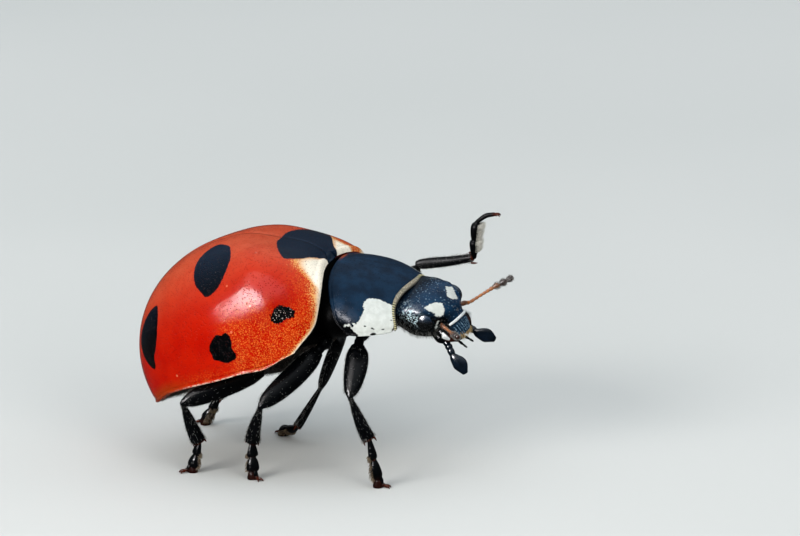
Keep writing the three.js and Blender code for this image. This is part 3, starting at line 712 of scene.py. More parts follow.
SPOTS = {
    "disc": [(0.338, 0.21), (0.363, 0.157), (0.405, 0.112), (0.444, 0.132), (0.479, 0.191), (0.498, 0.254), (0.508, 0.351), (0.502, 0.436),
             (0.483, 0.492), (0.457, 0.546), (0.418, 0.537), (0.382, 0.499), (0.346, 0.424), (0.325, 0.331)],
    "rear": [(0.723, 0.413), (0.745, 0.388), (0.783, 0.377), (0.829, 0.385), (0.873, 0.41), (0.892, 0.487), (0.887, 0.624), (0.865, 0.735),
             (0.838, 0.804), (0.819, 0.788), (0.811, 0.737), (0.776, 0.672), (0.746, 0.585), (0.726, 0.486)],
    "side": [(0.390, 0.799), (0.407, 0.785), (0.427, 0.79), (0.452, 0.78), (0.485, 0.809), (0.502, 0.837), (0.498, 0.872), (0.495, 0.897),
             (0.467, 0.915), (0.436, 0.933), (0.401, 0.93), (0.381, 0.92), (0.382, 0.899), (0.391, 0.871), (0.385, 0.834)],
    "shared": [(0.155, 0.0), (0.167, 0.035), (0.165, 0.1), (0.146, 0.213), (0.122, 0.322), (0.106, 0.352), (0.078, 0.325), (0.056, 0.285), (0.038, 0.218),
               (0.018, 0.140), (0.004, 0.11), (-0.004, 0.06), (-0.004, 0.0)],
}
SMALL = [(0.170, 0.758), (0.182, 0.776), (0.169, 0.81), (0.141, 0.814), (0.119, 0.803), (0.083, 0.793), (0.076, 0.764), (0.088, 0.742), (0.107, 0.727),
         (0.136, 0.719), (0.152, 0.732)]


def wing_marks(P, side, front, hem, seam, t, v):
    """The marks of one wing case, from points on it."""
    spot = np.minimum.reduce([outline(P, side, SPOTS[k]) for k in SPOTS])
    small = outline(P, side, SMALL)
    c = vault(np.array(0.115), np.array(0.772), side)
    x, y = P[..., 0] - c[0], P[..., 2] - c[2]
    far = np.linalg.norm(P - c, axis=-1)
    # clear deep red round the small shoulder spot, reaching up and back from it
    halo = np.exp(-(((x + 0.05) / 0.50) ** 2) - (((y - 0.32) / 0.40) ** 2)) * (far < 1.8)
    # cream: a wedge beside the shared spot that thins out along the front margin to the shoulder
    along = smooth(0.0, 0.03, v)
    wedge = along * np.clip(1.36 - front / (0.06 + 0.92 * np.exp(-(((v - 0.34) / 0.19) ** 2))), 0, 1.3) * smooth(0.85, 0.5, v)
    if side > 0:
        wedge = wedge * (1 - 0.7 * smooth(0.22, 0.33, v))
    beside = outline(P, side, SPOTS["shared"])
    wedge = np.maximum(wedge, 0.66 * np.exp(-np.clip(beside, 0, 1) / 0.16) * smooth(0.06, 0.14, v) * smooth(1.05, 0.6, front))
    band = smooth(0.3, 0.5, v) * np.clip(1.1 - front / mix(0.66, 0.34, smooth(0.55, 0.8, v)), 0, 1) * 0.80
    corner = smooth(0.72, 0.95, v) * np.clip(1.0 - front / 0.8, 0, 1) * 0.35 + np.clip(1 - hem / 0.2, 0, 1) * smooth(0.42, 0.1, t) * 0.35
    pale = np.clip(np.maximum(wedge, np.maximum(band, corner)), 0, 1)
    speck = smooth(0.60, 0.76, v) * smooth(0.47, 0.36, t)
    speck = np.maximum(speck, smooth(1.25, 0.3, front) * smooth(0.2, 0.35, v))
    speck = np.maximum(speck, 0.6 * np.clip(1 - hem / 0.45, 0, 1) * smooth(0.9, 0.5, t))
    return spot, small, halo, pale, speck * (1 - 0.9 * halo)


NU, NV = 230, 130


def wing(side, name, node):
    u = np.linspace(0, 1, NU)
    t_base = mix(u, u * u * (3 - 2 * u), 0.85)
    vv = np.linspace(0, 1, NV)
    v_line = np.where(vv < 0.72, vv / 0.72 * 0.93, 0.93 + (vv - 0.72) / 0.28 * 0.07)
    v_line = 1 - (1 - v_line) * (1 - 0.0 * v_line)
    T0, Vg = np.meshgrid(t_base, v_line, indexing="ij")

    def surface(inset):
        start = NOTCH_REACH * np.clip(1 - np.abs(vault(T0, Vg, 1)[..., 1]) / NOTCH_HALF, 0, 1)
        start = start + 0.036 * smooth(0.80, 1.0, Vg) ** 3
        start = start + 0.056 * (1 - np.sqrt(1 - 0.998 * np.clip((Vg - 0.87) / 0.13, 0, 1) ** 2))  # the lower front corner is rounded
        T = mix(start, 1.0, T0)
        return T, vault(T, Vg, side, inset)

    T, P = surface(0.0)
    n = np.cross(np.gradient(P, axis=0), np.gradient(P, axis=1))
    n = unit(n)
    if (n[NU // 2, NV // 2] @ np.array([0, side, 1.0])) < 0:
        n = -n
    # fix the directions where the rows run together at the tip
    n[-1] = np.array([-1.0, 0, 0.2]) / math.sqrt(1.04)
    steps_v = np.linalg.norm(np.diff(P, axis=1), axis=-1)
    hem = np.concatenate([np.cumsum(steps_v[:, ::-1], axis=1)[:, ::-1], np.zeros((NU, 1))], axis=1)
    seam = np.concatenate([np.zeros((NU, 1)), np.cumsum(steps_v, axis=1)], axis=1)
    front = np.concatenate([np.zeros((1, NV)), np.cumsum(np.linalg.norm(np.diff(P, axis=0), axis=-1), axis=0)], axis=0)
    spot, small, halo, pale, speck = wing_marks(P, side, front, hem, seam, T, Vg)
    # relief: a bead along the rim with a groove inside it, a rounded seam edge
    d = 0.02 * np.exp(-(((hem - 0.035) / 0.03) ** 2)) - 0.016 * np.exp(-(((hem - 0.105) / 0.04) ** 2))
    d = d * smooth(1.0, 0.96, T)
    d = d - 0.03 * np.exp(-seam / 0.02) - 0.006 * np.exp(-(((seam - 0.05) / 0.03) ** 2))
    d = d - 0.03 * np.exp(-front / 0.02)
    d = d - 0.035 * np.exp(-(((hem - 0.0) / 0.02) ** 2)) * 0.5
    O = P + n * d[..., None]
    O[..., 1] = side * np.maximum(np.abs(O[..., 1]), np.where(T >= 0.9999, 0.006, 0.006))
    fold = 0.085 + (0.30 * Vg**10 * smooth(1.0, 0.8, T) + 0.02 * Vg**10) * smooth(0.0, 0.16, T0)
    _, I = surface(0.0)
    I = vault(T, Vg, side, fold)
    I[..., 1] = side * np.maximum(np.abs(I[..., 1]), 0.006)
    V, F, src = plate(O, I, lip=0.012, steps=5)
    take = lambda a: a.reshape(-1)[src]
    under = np.zeros(len(V))
    under[NU * NV: 2 * NU * NV] = 1
    plain = 1 - 0.92 * under  # the folded inner side has no grains and no cream
    # upper is 1 high on the vault and 0 at the rim; it places the painted sky sheen on the red and on the black spots
    attrs = {"spot": take(spot), "small": take(small), "hem": take(hem), "front": take(front), "pale": take(pale) * plain,
             "speck": take(speck) * plain, "halo": take(halo), "rimlight": take(smooth(0.86, 0.6, T)), "upper": take(smooth(0.80, 0.12, Vg) ** 1.3)}
    ob = piece(name, body_to_row(V), F, MAT["wing"], attrs, nodes=(node,), weld=True)
    return ob


wing(1, "wing_case_left", "elytron_left")
wing(-1, "wing_case_right", "elytron_right")

# the small plate between the wing cases
su, sv = np.meshgrid(np.linspace(0, 1, 24), np.linspace(-1, 1, 25), indexing="ij")


def small_plate(inset):
    t = NOTCH_REACH * 0.9 * su
    p = vault(t, np.zeros_like(t), 1, 0.005 + inset)
    p[..., 1] = sv * NOTCH_HALF * 0.88 * (1 - su) ** 0.9
    p[..., 0] -= 0.02 * sv**2 * (1 - su)
    return p


V, F, src = plate(small_plate(0.0), small_plate(0.13), lip=0.015)
piece("small_plate", body_to_row(V), F, MAT["small"], nodes=("scutellum",), weld=True)

# ---------------------------------------------------------------------------------------------
# Trunk under the wing cases
# ---------------------------------------------------------------------------------------------
belly_table = curve([(0, 0.36), (0.12, 0.58), (0.3, 0.72), (0.42, 0.58), (0.55, 0.40), (0.8, 0.29), (0.97, 0.12), (1.0, 0.05)])


def trunk():
    nu, up, lowr = 150, 40, 90
    u = np.linspace(0.006, 0.985, nu)
    t = mix(u, u * u * (3 - 2 * u), 0.6)
    rows = []
    tint = []
    for k, tt in enumerate(t):
        v = np.abs(np.linspace(-1, 1, up))
        side = np.sign(np.linspace(-1, 1, up))
        side[side == 0] = 1
        inset = 0.14 + 0.27 * v**10 * smooth(1.0, 0.8, tt)
        top = np.stack([vault(np.full(1, tt), np.full(1, a), s, i)[0] for a, s, i in zip(v, side, inset)])
        left = top[-1]
        q = np.linspace(1, -1, lowr + 2)[1:-1]
        edge = vault(np.array(tt), np.array(1.0), 1, 0.0)
        depth = belly_table(tt)
        w = abs(left[1])
        x = (left[0] - edge[0]) * np.abs(q) ** 2 + edge[0]
        z = mix(left[2], -depth * (1 - q * q) ** 1.3 + float(rim(np.array(tt))) * q * q, 1 - np.abs(q) ** 6)
        # plate joints across the belly, deeper towards the sides
        for cut, deep in ((0.30, 0.05), (0.44, 0.055), (0.56, 0.045), (0.66, 0.04), (0.755, 0.035), (0.84, 0.03), (0.91, 0.025)):
            s_cut = cut + (0.03 if cut > 0.4 else -0.04) * q * q
            z = z + deep * np.exp(-(((tt - s_cut) / 0.008) ** 2)) - 0.35 * deep * np.exp(-(((tt - s_cut + 0.02) / 0.014) ** 2))
        z = z + 0.04 * np.exp(-((q / 0.025) ** 2)) * smooth(0.46, 0.3, tt)  # the breast's middle groove
        low_row = np.stack([x, w * q, z], -1)
        rows.append(np.concatenate([top, low_row]))
        tint.append(np.concatenate([np.zeros(up), 0.35 * smooth(0.86, 1.0, np.abs(q)) * smooth(0.4, 0.6, tt) * np.ones(lowr)]))
    G = np.stack(rows)
    m = G.shape[1]
    V = G.reshape(-1, 3)
    F = [grid_faces(nu, m, wrap=True)]
    n0 = len(V)
    V = np.concatenate([V, [G[0].mean(0), G[-1].mean(0)]])
    j = np.arange(m)
    F.append(np.stack([np.full(m, n0), j, (j + 1) % m], -1))
    F.append(np.stack([np.full(m, n0 + 1), (nu - 1) * m + (j + 1) % m, (nu - 1) * m + j], -1))
    return V, F, {"tint": np.concatenate([np.concatenate(tint), [0, 0]])}, G


V, F, A, TRUNK = trunk()
piece("breast_and_belly", body_to_row(V), F, MAT["under"], A, nodes=("thorax", "abdomen"))

# ---------------------------------------------------------------------------------------------
# Shield (pronotum) and the collar under it
# ---------------------------------------------------------------------------------------------
SH = dict(rearHalf=1.646, frontHalf=1.336, length=1.199, rearCurve=0.449, frontCurve=0.241,
          rearHeight=1.073, frontHeight=0.56, sidePower=1.011, topPower=0.955, bulge=0.156)


def shield(s, q, inset=0.0):
    a = q * np.pi / 2
    lift = np.abs(np.sin(a))
    w = mix(SH["rearHalf"], SH["frontHalf"], s**1.5) + SH["bulge"] * np.sin(np.pi * s) - inset
    h = mix(SH["rearHeight"], SH["frontHeight"], s) + 0.1 * np.sin(np.pi * s) - inset
    back = -SH["rearCurve"] * (1 - lift**2.6)
    front = SH["length"] + SH["frontCurve"] * lift**3 + 0.19 * np.exp(-(((q - 0.25) / 0.35) ** 2))
    return np.stack(np.broadcast_arrays(mix(back, front, s), w * np.sign(a) * lift ** SH["sidePower"],
                                        h * np.clip(np.cos(a), 0, 1) ** SH["topPower"]), -1)


def facing_up(n, to_row, low, high):
    """1 where the surface looks up, 0 where it looks down, from its directions n in a frame of its own."""
    d = to_row(n.reshape(-1, 3)) - to_row(np.zeros(3))
    return smooth(low, high, unit(d)[:, 2]).reshape(n.shape[:-1])


def polygon_distance(x, y, corners):
    """Signed distance to a closed outline of straight pieces, inside positive."""
    c = np.array(corners, float)
    best, inside = np.full(x.shape, 1e9), np.zeros(x.shape, bool)
    for p, q in zip(c, np.roll(c, -1, axis=0)):
        d = q - p
        k = np.clip(((x - p[0]) * d[0] + (y - p[1]) * d[1]) / (d @ d), 0, 1)
        best = np.minimum(best, np.hypot(x - p[0] - k * d[0], y - p[1] - k * d[1]))
        cross = (p[1] > y) != (q[1] > y)
        inside ^= cross & (x < p[0] + (y - p[1]) * d[0] / (d[1] if abs(d[1]) > 1e-12 else 1e-12))
    return np.where(inside, best, -best)


# the white corner patches, along and across the shield (mm); the left one is seen edge-on and starts lower
PATCH = [(1.30, 0.85), (1.17, 0.87), (1.09, 0.85), (1.01, 0.80), (0.93, 0.79), (0.86, 0.81), (0.77, 0.86), (0.71, 0.95), (0.68, 1.08), (0.68, 1.22),
         (0.665, 1.34), (0.61, 1.43), (0.575, 1.55), (0.50, 1.66), (0.405, 1.77), (0.38, 1.84), (0.42, 1.93), (0.50, 2.02), (0.52, 2.2), (1.30, 2.2)]


NS, NQ = 130, 260


def make_shield():
    s_line = np.linspace(0, 1, NS)
    x = np.linspace(-1, 1, NQ)
    q_line = np.sign(x) * (np.abs(x) * 0.93 + 0.07 * np.abs(x) ** 6)
    Q, S0 = np.meshgrid(q_line, s_line)
    # the rear and front corners are rounded
    far = smooth(0.74, 1.0, np.abs(Q))
    S = mix(0.20 * far**2, 1 - 0.05 * far**2.5, S0)
    P = shield(S, Q)
    n = unit(np.cross(np.gradient(P, axis=0), np.gradient(P, axis=1)))
    if n[NS // 2, NQ // 2, 2] < 0:
        n = -n
    qa = np.concatenate([np.zeros((NS, 1)), np.cumsum(np.linalg.norm(np.diff(P, axis=1), axis=-1), axis=1)], axis=1)
    side_d = np.minimum(qa, qa[:, -1:] - qa)
    sa = np.concatenate([np.zeros((1, NQ)), np.cumsum(np.linalg.norm(np.diff(P, axis=0), axis=-1), axis=0)], axis=0)
    front_d, rear_d = sa[-1:] - sa, sa
    d = 0.014 * np.exp(-(((side_d - 0.03) / 0.028) ** 2)) - 0.009 * np.exp(-(((side_d - 0.095) / 0.035) ** 2))
    d += 0.012 * np.exp(-(((rear_d - 0.03) / 0.022) ** 2)) - 0.008 * np.exp(-(((rear_d - 0.08) / 0.03) ** 2))
    d += -0.03 * np.exp(-front_d / 0.02) - 0.02 * np.exp(-rear_d / 0.012) - 0.02 * np.exp(-side_d / 0.012)
    O = P + n * d[..., None]
    inner = 0.085 + 0.10 * np.abs(Q) ** 12
    I = shield(S, Q, inner)
    V, F, src = plate(O, I, lip=0.012, steps=5)
    Sm, Qm = S * 1.2, Q * 2.08
    right = polygon_distance(Sm, -Qm, PATCH)
    left = polygon_distance(Sm, Qm, [(x, y + 0.50 * smooth(1.3, 0.85, y)) for x, y in PATCH])
    white = np.maximum(right, left)
    # the patch stops short of the beaded front edge
    white = np.minimum(white, mix(-0.05, 0.5, smooth(0.0, 0.06, front_d - 0.012)))
    speckle = np.zeros_like(S)
    for side in (1, -1):
        for (ps, pq, r) in ((0.66, -1.73, 0.024), (0.79, -1.80, 0.024), (0.815, -1.835, 0.02), (0.985, -1.87, 0.028), (0.80, -2.02, 0.05), (0.765, -2.03, 0.03),
                            (1.155, -1.50, 0.018)):
            dist = np.sqrt((Sm - ps) ** 2 + (Qm - pq * side) ** 2)
            speckle = np.maximum(speckle, smooth(r * 1.25, r * 0.8, dist))
    flecks = np.zeros_like(S) - 0.2
    for side in (-1, 1):
        for (ps, pq, ra, rb) in ((0.30, -1.75, 0.065, 0.032), (0.34, -1.71, 0.03, 0.022), (0.45, -1.68, 0.026, 0.022), (0.25, -1.79, 0.03, 0.018)):
            flecks = np.maximum(flecks, (1 - np.sqrt(((Sm - ps) / ra) ** 2 + ((Qm - pq * side) / rb) ** 2)) * min(ra, rb))
    white = np.maximum(white, flecks)
    take = lambda a: a.reshape(-1)[src]
    # a brown translucent stretch of the rear edge left of the middle
    edge = 0.9 * np.exp(-((front_d / 0.03) ** 2)) * smooth(0.36, 0.42, np.abs(Q))
    brown = smooth(0.10, 0.03, rear_d) * np.exp(-(((Q - 0.19) / 0.07) ** 2))
    inside = np.zeros(len(V))
    inside[NS * NQ:2 * NS * NQ] = 1
    # painted sky sheen: blue where the shield looks up, black where it looks down
    painted_sky_sheen = facing_up(n, shield_to_row, 0.10, 0.62)
    piece("shield", shield_to_row(V), F, MAT["shield"],
          {"white": np.where(inside > 0, -1, take(white)), "speckle": take(speckle), "edge": np.where(inside > 0, 0, take(edge)), "brown": np.where(inside > 0, 0, take(brown)),
           "sheen": take(painted_sky_sheen)},
          nodes=("pronotum",), weld=True)
    return P, n


SHIELD_P, SHIELD_N = make_shield()


def membrane_material():
    n = Nodes("collar_skin")
    n.set(Roughness=0.42, Subsurface_Weight=0.0)
    beads = n.voronoi(0.045)
    color = n.blend(n.span(beads, 0.15, 0.5), lin(204, 198, 176), lin(120, 113, 96))
    color = n.blend(n.span(n.noise(0.2, 2.0), 0.35, 0.65, 0.0, 0.5), color, lin(156, 140, 118))
    row = n.blend(n.span(n.attr("knot"), 0.35, 0.75), lin(16, 15, 12), lin(206, 196, 146))
    color = n.blend(n.attr("row"), color, row)
    # painted shadow: the hem's outer edge is darkened where it hangs over the head
    color = n.blend(n.math("MULTIPLY", n.attr("outer"), 0.8), color, lin(30, 28, 24))
    return n.done(color, 0.4, n.bump(n.span(beads, 0.1, 0.5, 1.0, 0.0), 0.7, 0.015))


MAT["collar"] = membrane_material()


def front_band():
    """The pale translucent hem along the shield's front edge, wide over the head and a narrow row of beads beside the patches."""
    q = np.linspace(-0.985, 0.985, 300)
    k = np.linspace(0, 1, 14)
    base = shield(np.full_like(q, 0.985), q, 0.012)
    fwd = unit(shield(np.full_like(q, 1.0), q) - shield(np.full_like(q, 0.9), q))
    width = (0.050 + 0.042 * np.exp(-(((q - 0.0) / 0.42) ** 4))) * smooth(1.0, 0.93, np.abs(q)) + 0.01
    down = unit(shield(np.full_like(q, 1.0), q, 0.1) - shield(np.full_like(q, 1.0), q))
    lip = fwd[None] * (width[None] * k[:, None])[..., None] + down[None] * (0.35 * width[None] * k[:, None] ** 1.6)[..., None]
    knot = 0.5 + 0.5 * np.cos(q * 1.65 / 0.078 * 2 * np.pi)
    bead = 0.016 * knot[None] * smooth(0.25, 0.40, np.abs(q))[None] * (k[:, None] > 0.15) * smooth(0.0, 0.3, k)[:, None]
    O = base[None] + lip - down[None] * bead[..., None]
    I = O + down[None] * (0.045 - 0.02 * k[:, None] * np.ones_like(q)[None])[..., None]
    V, F, src = plate(O, I, lip=0.01, steps=3)
    row = smooth(0.30, 0.42, np.abs(q))[None] + 0 * k[:, None]
    # outer marks the painted shadow along the hem's outer edge
    outer = smooth(0.68, 0.95, k)[:, None] + 0 * q[None]
    piece("shield_front_hem", shield_to_row(V), F, MAT["collar"], {"row": row.reshape(-1)[src], "knot": (knot[None] + 0 * k[:, None]).reshape(-1)[src], "outer": outer.reshape(-1)[src]}, weld=True)


front_band()


def collar():
    """The underside of the shield and the prothorax under it."""
    ns, up, lowr = 60, 70, 60
    rows = []
    for s in np.linspace(0.06, 0.93, ns):
        q = np.linspace(-1, 1, up)
        margin = 0.13 + 0.12 * np.abs(q) ** 8
        top = shield(np.full(up, s), q, margin)
        edge, depth = top[-1][1], mix(0.5, 0.4, s) * smooth(0.0, 0.2, s) ** 0.5 * mix(1, 0.75, smooth(0.75, 0.93, s))
        mid, end = shield(np.array(s), np.array(0.0))[0], top[-1][0]
        r = np.linspace(1, -1, lowr + 2)[1:-1]
        z = -depth * (1 - r * r) ** 0.8
        z = z + 0.10 * np.exp(-(((np.abs(r) - 0.84) / 0.07) ** 2)) * smooth(0.1, 0.3, s)  # a channel inside the shield's folded edge
        rows.append(np.concatenate([top, np.stack([mix(mid, end, r * r), edge * r, z], -1)]))
    G = np.stack(rows)
    m = G.shape[1]
    V = np.concatenate([G.reshape(-1, 3), [G[0].mean(0), G[-1].mean(0)]])
    n0, j = ns * m, np.arange(m)
    F = [grid_faces(ns, m, wrap=True), np.stack([np.full(m, n0), j, (j + 1) % m], -1),
         np.stack([np.full(m, n0 + 1), (ns - 1) * m + (j + 1) % m, (ns - 1) * m + j], -1)]
    piece("collar", shield_to_row(V), F, MAT["under"], {"tint": np.zeros(len(V))}, nodes=("prothorax",))
    # the soft neck between collar and head
    a = np.array([1.05, 0.0, 0.02])
    neck_in_body = a @ SHIELD_TURN.T + SHIELD_AT
    h = HEAD_AXES @ np.array([-0.45, 0, -0.34]) + HEAD_AT
    tb = tube([neck_in_body - (h - neck_in_body) * 0.5, neck_in_body, (neck_in_body + h) / 2, h], [0.34, 0.33, 0.3, 0.26], ref=(0, 1, 0), n=20)
    piece("neck", body_to_row(tb["V"]), tb["F"], MAT["under"], {"tint": np.zeros(len(tb["V"]))})
    return G


COLLAR = collar()

# the narrow front of the breast that runs forward under the shield
tb = tube([(5.1, 0, 0.22), (5.45, 0, 0.22), (5.72, 0, 0.20), (6.0, 0, 0.14), (6.3, 0, 0.02)], [0.60, 0.70, 0.66, 0.56, 0.40], [1.35, 1.56, 1.50, 1.28, 1.0],
          ref=(0, 0, 1), n=60, sides=72, caps=(0.6, 0.6))
piece("waist", body_to_row(tb["V"]), tb["F"], MAT["under"], {"tint": np.zeros(len(tb["V"]))})

# ---------------------------------------------------------------------------------------------
# Head, in its own frame: x towards the mouth, y to its left, z out of the face
# ---------------------------------------------------------------------------------------------
head_width = curve([(-1.0, 0.70), (-0.85, 0.85), (-0.64, 0.91), (-0.3, 0.86), (0.05, 0.76), (0.3, 0.60), (0.45, 0.47), (0.6, 0.36)])
head_face = curve([(-1.0, -0.38), (-0.85, -0.22), (-0.7, -0.06), (-0.6, 0.07), (-0.48, 0.20), (-0.3, 0.33), (0.05, 0.41), (0.3, 0.37), (0.6, 0.19)])
head_throat = curve([(-1.0, -0.62), (-0.8, -0.76), (-0.6, -0.87), (-0.3, -0.94), (0.1, -0.90), (0.4, -0.66), (0.6, -0.32)])


def head_surface(x, phi):
    w, zt, zb = head_width(x), head_face(x), head_throat(x)
    c, r = (zt + zb) / 2, (zt - zb) / 2
    cy, cz = np.cos(phi), np.sin(phi)
    return np.stack(np.broadcast_arrays(x, w * np.sign(cy) * np.abs(cy) ** 0.93, c + r * np.sign(cz) * np.abs(cz) ** 0.93), -1)


def polygon(x, y, corners):
    """Signed distance to a convex polygon, inside positive."""
    d = None
    c = np.array(corners, float)
    mid = c.mean(0)
    for p, q in zip(c, np.roll(c, -1, axis=0)):
        n = np.array([-(q - p)[1], (q - p)[0]])
        n = n / np.linalg.norm(n)
        if (mid - p) @ n < 0:
            n = -n
        e = (x - p[0]) * n[0] + (y - p[1]) * n[1]
        d = e if d is None else np.minimum(d, e)
    return d


EYE_HALF = np.array([0.26, 0.20, 0.25])  # long, outward, tall


def eye_frame(s):
    """An eye's centre and its outward, long and tall directions."""
    out = unit(np.array([-0.12, s * 1.0, 0.12]))
    long = unit(np.array([1.0, 0, -0.02]) - out * (np.array([1.0, 0, -0.02]) @ out))
    return np.array([0.04, 0.60, 0.02] if s > 0 else [0.03, -0.63, -0.08]), out, long, np.cross(out, long)


def make_head():
    nx, nf = 150, 220
    # rows bunch towards the closed ends
    k = np.linspace(0, 1, nx)
    x = mix(-1.0, 0.6, mix(k, k * k * (3 - 2 * k), 0.6))
    phi = np.linspace(0, 2 * math.pi, nf, endpoint=False)
    X, PH = np.meshgrid(x, phi, indexing="ij")
    P = head_surface(X, PH)
    n = unit(np.cross(np.gradient(P, axis=0), np.roll(P, -1, 1) - np.roll(P, 1, 1)))
    if n[nx // 2, nf // 4, 2] < 0:
        n = -n
    x3, y3, z3 = P[..., 0], P[..., 1], P[..., 2]
    top = n[..., 2] > 0.0
    # relief: brow between the eyes, feeler sockets, the lip's edge
    d = np.zeros_like(X)
    d -= 0.05 * np.exp(-(((x3 - 0.40) / 0.08) ** 2 + ((np.abs(y3) - 0.50) / 0.09) ** 2 + ((z3 - 0.13) / 0.14) ** 2))
    d += 0.02 * np.exp(-(((x3 - 0.32) / 0.06) ** 2 + ((np.abs(y3) - 0.42) / 0.08) ** 2)) * top
    d -= 0.012 * np.exp(-(((x3 - 0.47) / 0.02) ** 2)) * top * (np.abs(y3) < 0.36)
    d += 0.014 * np.exp(-(((x3 - 0.585) / 0.03) ** 2)) * top
    d -= 0.015 * np.exp(-((y3 / 0.05) ** 2)) * np.exp(-(((x3 + 0.35) / 0.2) ** 2)) * top * 0.5
    # the skin swells up to the eyes, so that they lie in it and don't stand on it
    for s in (1, -1):
        centre, out, long, tall = eye_frame(s)
        q = np.stack([(P - centre) @ long, (P - centre) @ out, (P - centre) @ tall], -1) / EYE_HALF
        d += 0.045 * np.exp(-(((np.linalg.norm(q, axis=-1) - 1.0) * 0.25 / 0.10) ** 2))
    O = P + n * d[..., None]
    V = O.reshape(-1, 3)
    n0 = len(V)
    V = np.concatenate([V, [O[0].mean(0), O[-1].mean(0)]])
    j = np.arange(nf)
    F = [grid_faces(nx, nf, wrap=True), np.stack([np.full(nf, n0), j, (j + 1) % nf], -1),
         np.stack([np.full(nf, n0 + 1), (nx - 1) * nf + (j + 1) % nf, (nx - 1) * nf + j], -1)]
    ay = np.abs(y3)
    spot = np.maximum(
        polygon_distance(x3, y3, [(-0.15, -0.59), (-0.10, -0.43), (-0.02, -0.32), (0.085, -0.22), (0.135, -0.235), (0.268, -0.30), (0.31, -0.385), (0.27, -0.45),
                                  (0.193, -0.52), (0.09, -0.53), (0.006, -0.56)]),
        polygon_distance(x3, y3, [(-0.16, 0.33), (-0.04, 0.47), (0.12, 0.40), (0.285, 0.30), (0.213, 0.11), (0.047, 0.04), (-0.014, 0.147)]))
    streak = polygon(x3, z3, [(0.29, 0.12), (0.325, 0.115), (0.375, -0.105), (0.34, -0.115)])
    streak = np.where((ay > 0.44), streak, -1)
    white = np.where(top, spot, -1)
    white = np.maximum(white, streak)
    full = lambda a: np.concatenate([a.reshape(-1), [-1, -1]])
    # temple places the painted sparkle of glints behind the eye
    temple = 1.3 * np.exp(-(((x3 + 0.27) / 0.25) ** 2) - (((z3 + 0.085) / 0.12) ** 2)) * (ay > 0.5)
    # sheen places the painted sky reflection where the head looks up and fades it to black towards the rear, as painted
    # shade under the shield's hem
    piece("head_capsule", head_to_row(V), F, MAT["head"],
          {"white": full(white), "speckle": np.zeros(len(V)), "sheen": np.clip(full(facing_up(n, head_to_row, -0.10, 0.45) * smooth(-0.95, -0.2, x3)), 0, 1), "temple": np.clip(full(temple), 0, 1)},
          nodes=("head",))
    return P, n, X, PH


HEAD_P, HEAD_N, HEAD_X, HEAD_PHI = make_head()


def hex_lens(px, py, pitch):
    """Distance to the nearest point of a six-sided lattice, over its pitch."""
    best = None
    for ox, oy in ((0.0, 0.0), (0.5, math.sqrt(3) / 2)):
        gx = np.round((px / pitch) - ox) + ox
        gy = np.round(((py / pitch) - oy) / math.sqrt(3)) * math.sqrt(3) + oy
        d = np.hypot(px / pitch - gx, py / pitch - gy)
        best = d if best is None else np.minimum(best, d)
    return best


def make_eye(s, name, node):
    """A wide bulging eye with a face of small lenses."""
    centre, out, long, tall = eye_frame(s)
    half = EYE_HALF
    nr, nf = 130, 200
    th = np.linspace(0.012, math.radians(112), nr)
    ph = np.linspace(0, 2 * math.pi, nf, endpoint=False)
    TH, PH = np.meshgrid(th, ph, indexing="ij")
    pitch = 0.027
    lx, ly = TH * 0.26 * np.cos(PH), TH * 0.26 * np.sin(PH)
    r = hex_lens(lx, ly, pitch)
    lens = 1 - 0.012 * np.clip(r / 0.55, 0, 1.2) ** 2
    a, b = np.cos(PH), np.sin(PH)
    P = (centre + out * (half[1] * np.cos(TH) * lens)[..., None] + long * (half[0] * np.sin(TH) * a * lens)[..., None]
         + tall * (half[2] * np.sin(TH) * b * lens)[..., None])
    V = np.concatenate([P.reshape(-1, 3), [centre + out * half[1], P[-1].mean(0)]])
    n0, j = nr * nf, np.arange(nf)
    F = [grid_faces(nr, nf, wrap=True), np.stack([np.full(nf, n0), j, (j + 1) % nf], -1),
         np.stack([np.full(nf, n0 + 1), (nr - 1) * nf + (j + 1) % nf, (nr - 1) * nf + j], -1)]
    facet = np.concatenate([smooth(0.42, 0.56, r).reshape(-1), [0, 0]])
    n = (out * (np.cos(TH) / half[1])[..., None] + long * (np.sin(TH) * a / half[0])[..., None] + tall * (np.sin(TH) * b / half[2])[..., None])
    # the lens's painted sky sheen, where it looks up
    painted_sky_sheen = np.concatenate([facing_up(n, head_to_row, -0.15, 0.42).reshape(-1), [1, 0]])
    piece(name, head_to_row(V), F, MAT["eye"], {"facet": facet, "sheen": painted_sky_sheen}, nodes=(node,))


make_eye(1, "eye_left_lens", "eye_left")
make_eye(-1, "eye_right_lens", "eye_right")


def flat_white():
    n = Nodes("white_cuticle")
    n.set(Roughness=0.3, Coat_Weight=0.2, Coat_Roughness=0.15)
    color = n.blend(n.span(n.noise(0.06, 2.0), 0.35, 0.65), lin(196, 199, 200), lin(216, 218, 218))
    return n.done(color, 0.3, n.bump(n.noise(0.03, 2.0), 0.3, 0.006))


MAT["white"] = flat_white()


def lip_material():
    n = Nodes("upper_lip_cuticle")
    n.set(IOR=1.5, Specular_IOR_Level=0.14)
    # the dark blue is a painted sky reflection and the pale blue on the ribs' crests is a painted highlight
    color = n.blend(n.span(n.noise(0.1, 2.0), 0.3, 0.7), lin(12, 30, 46), lin(22, 48, 70))
    color = n.blend(n.math("MULTIPLY", n.attr("rib"), n.span(n.noise(0.035, 2.0), 0.42, 0.56)), color, lin(116, 146, 168))
    return n.done(color, 0.24, n.bump(n.noise(0.03, 2.0), 0.5, 0.008))


MAT["lip"] = lip_material()

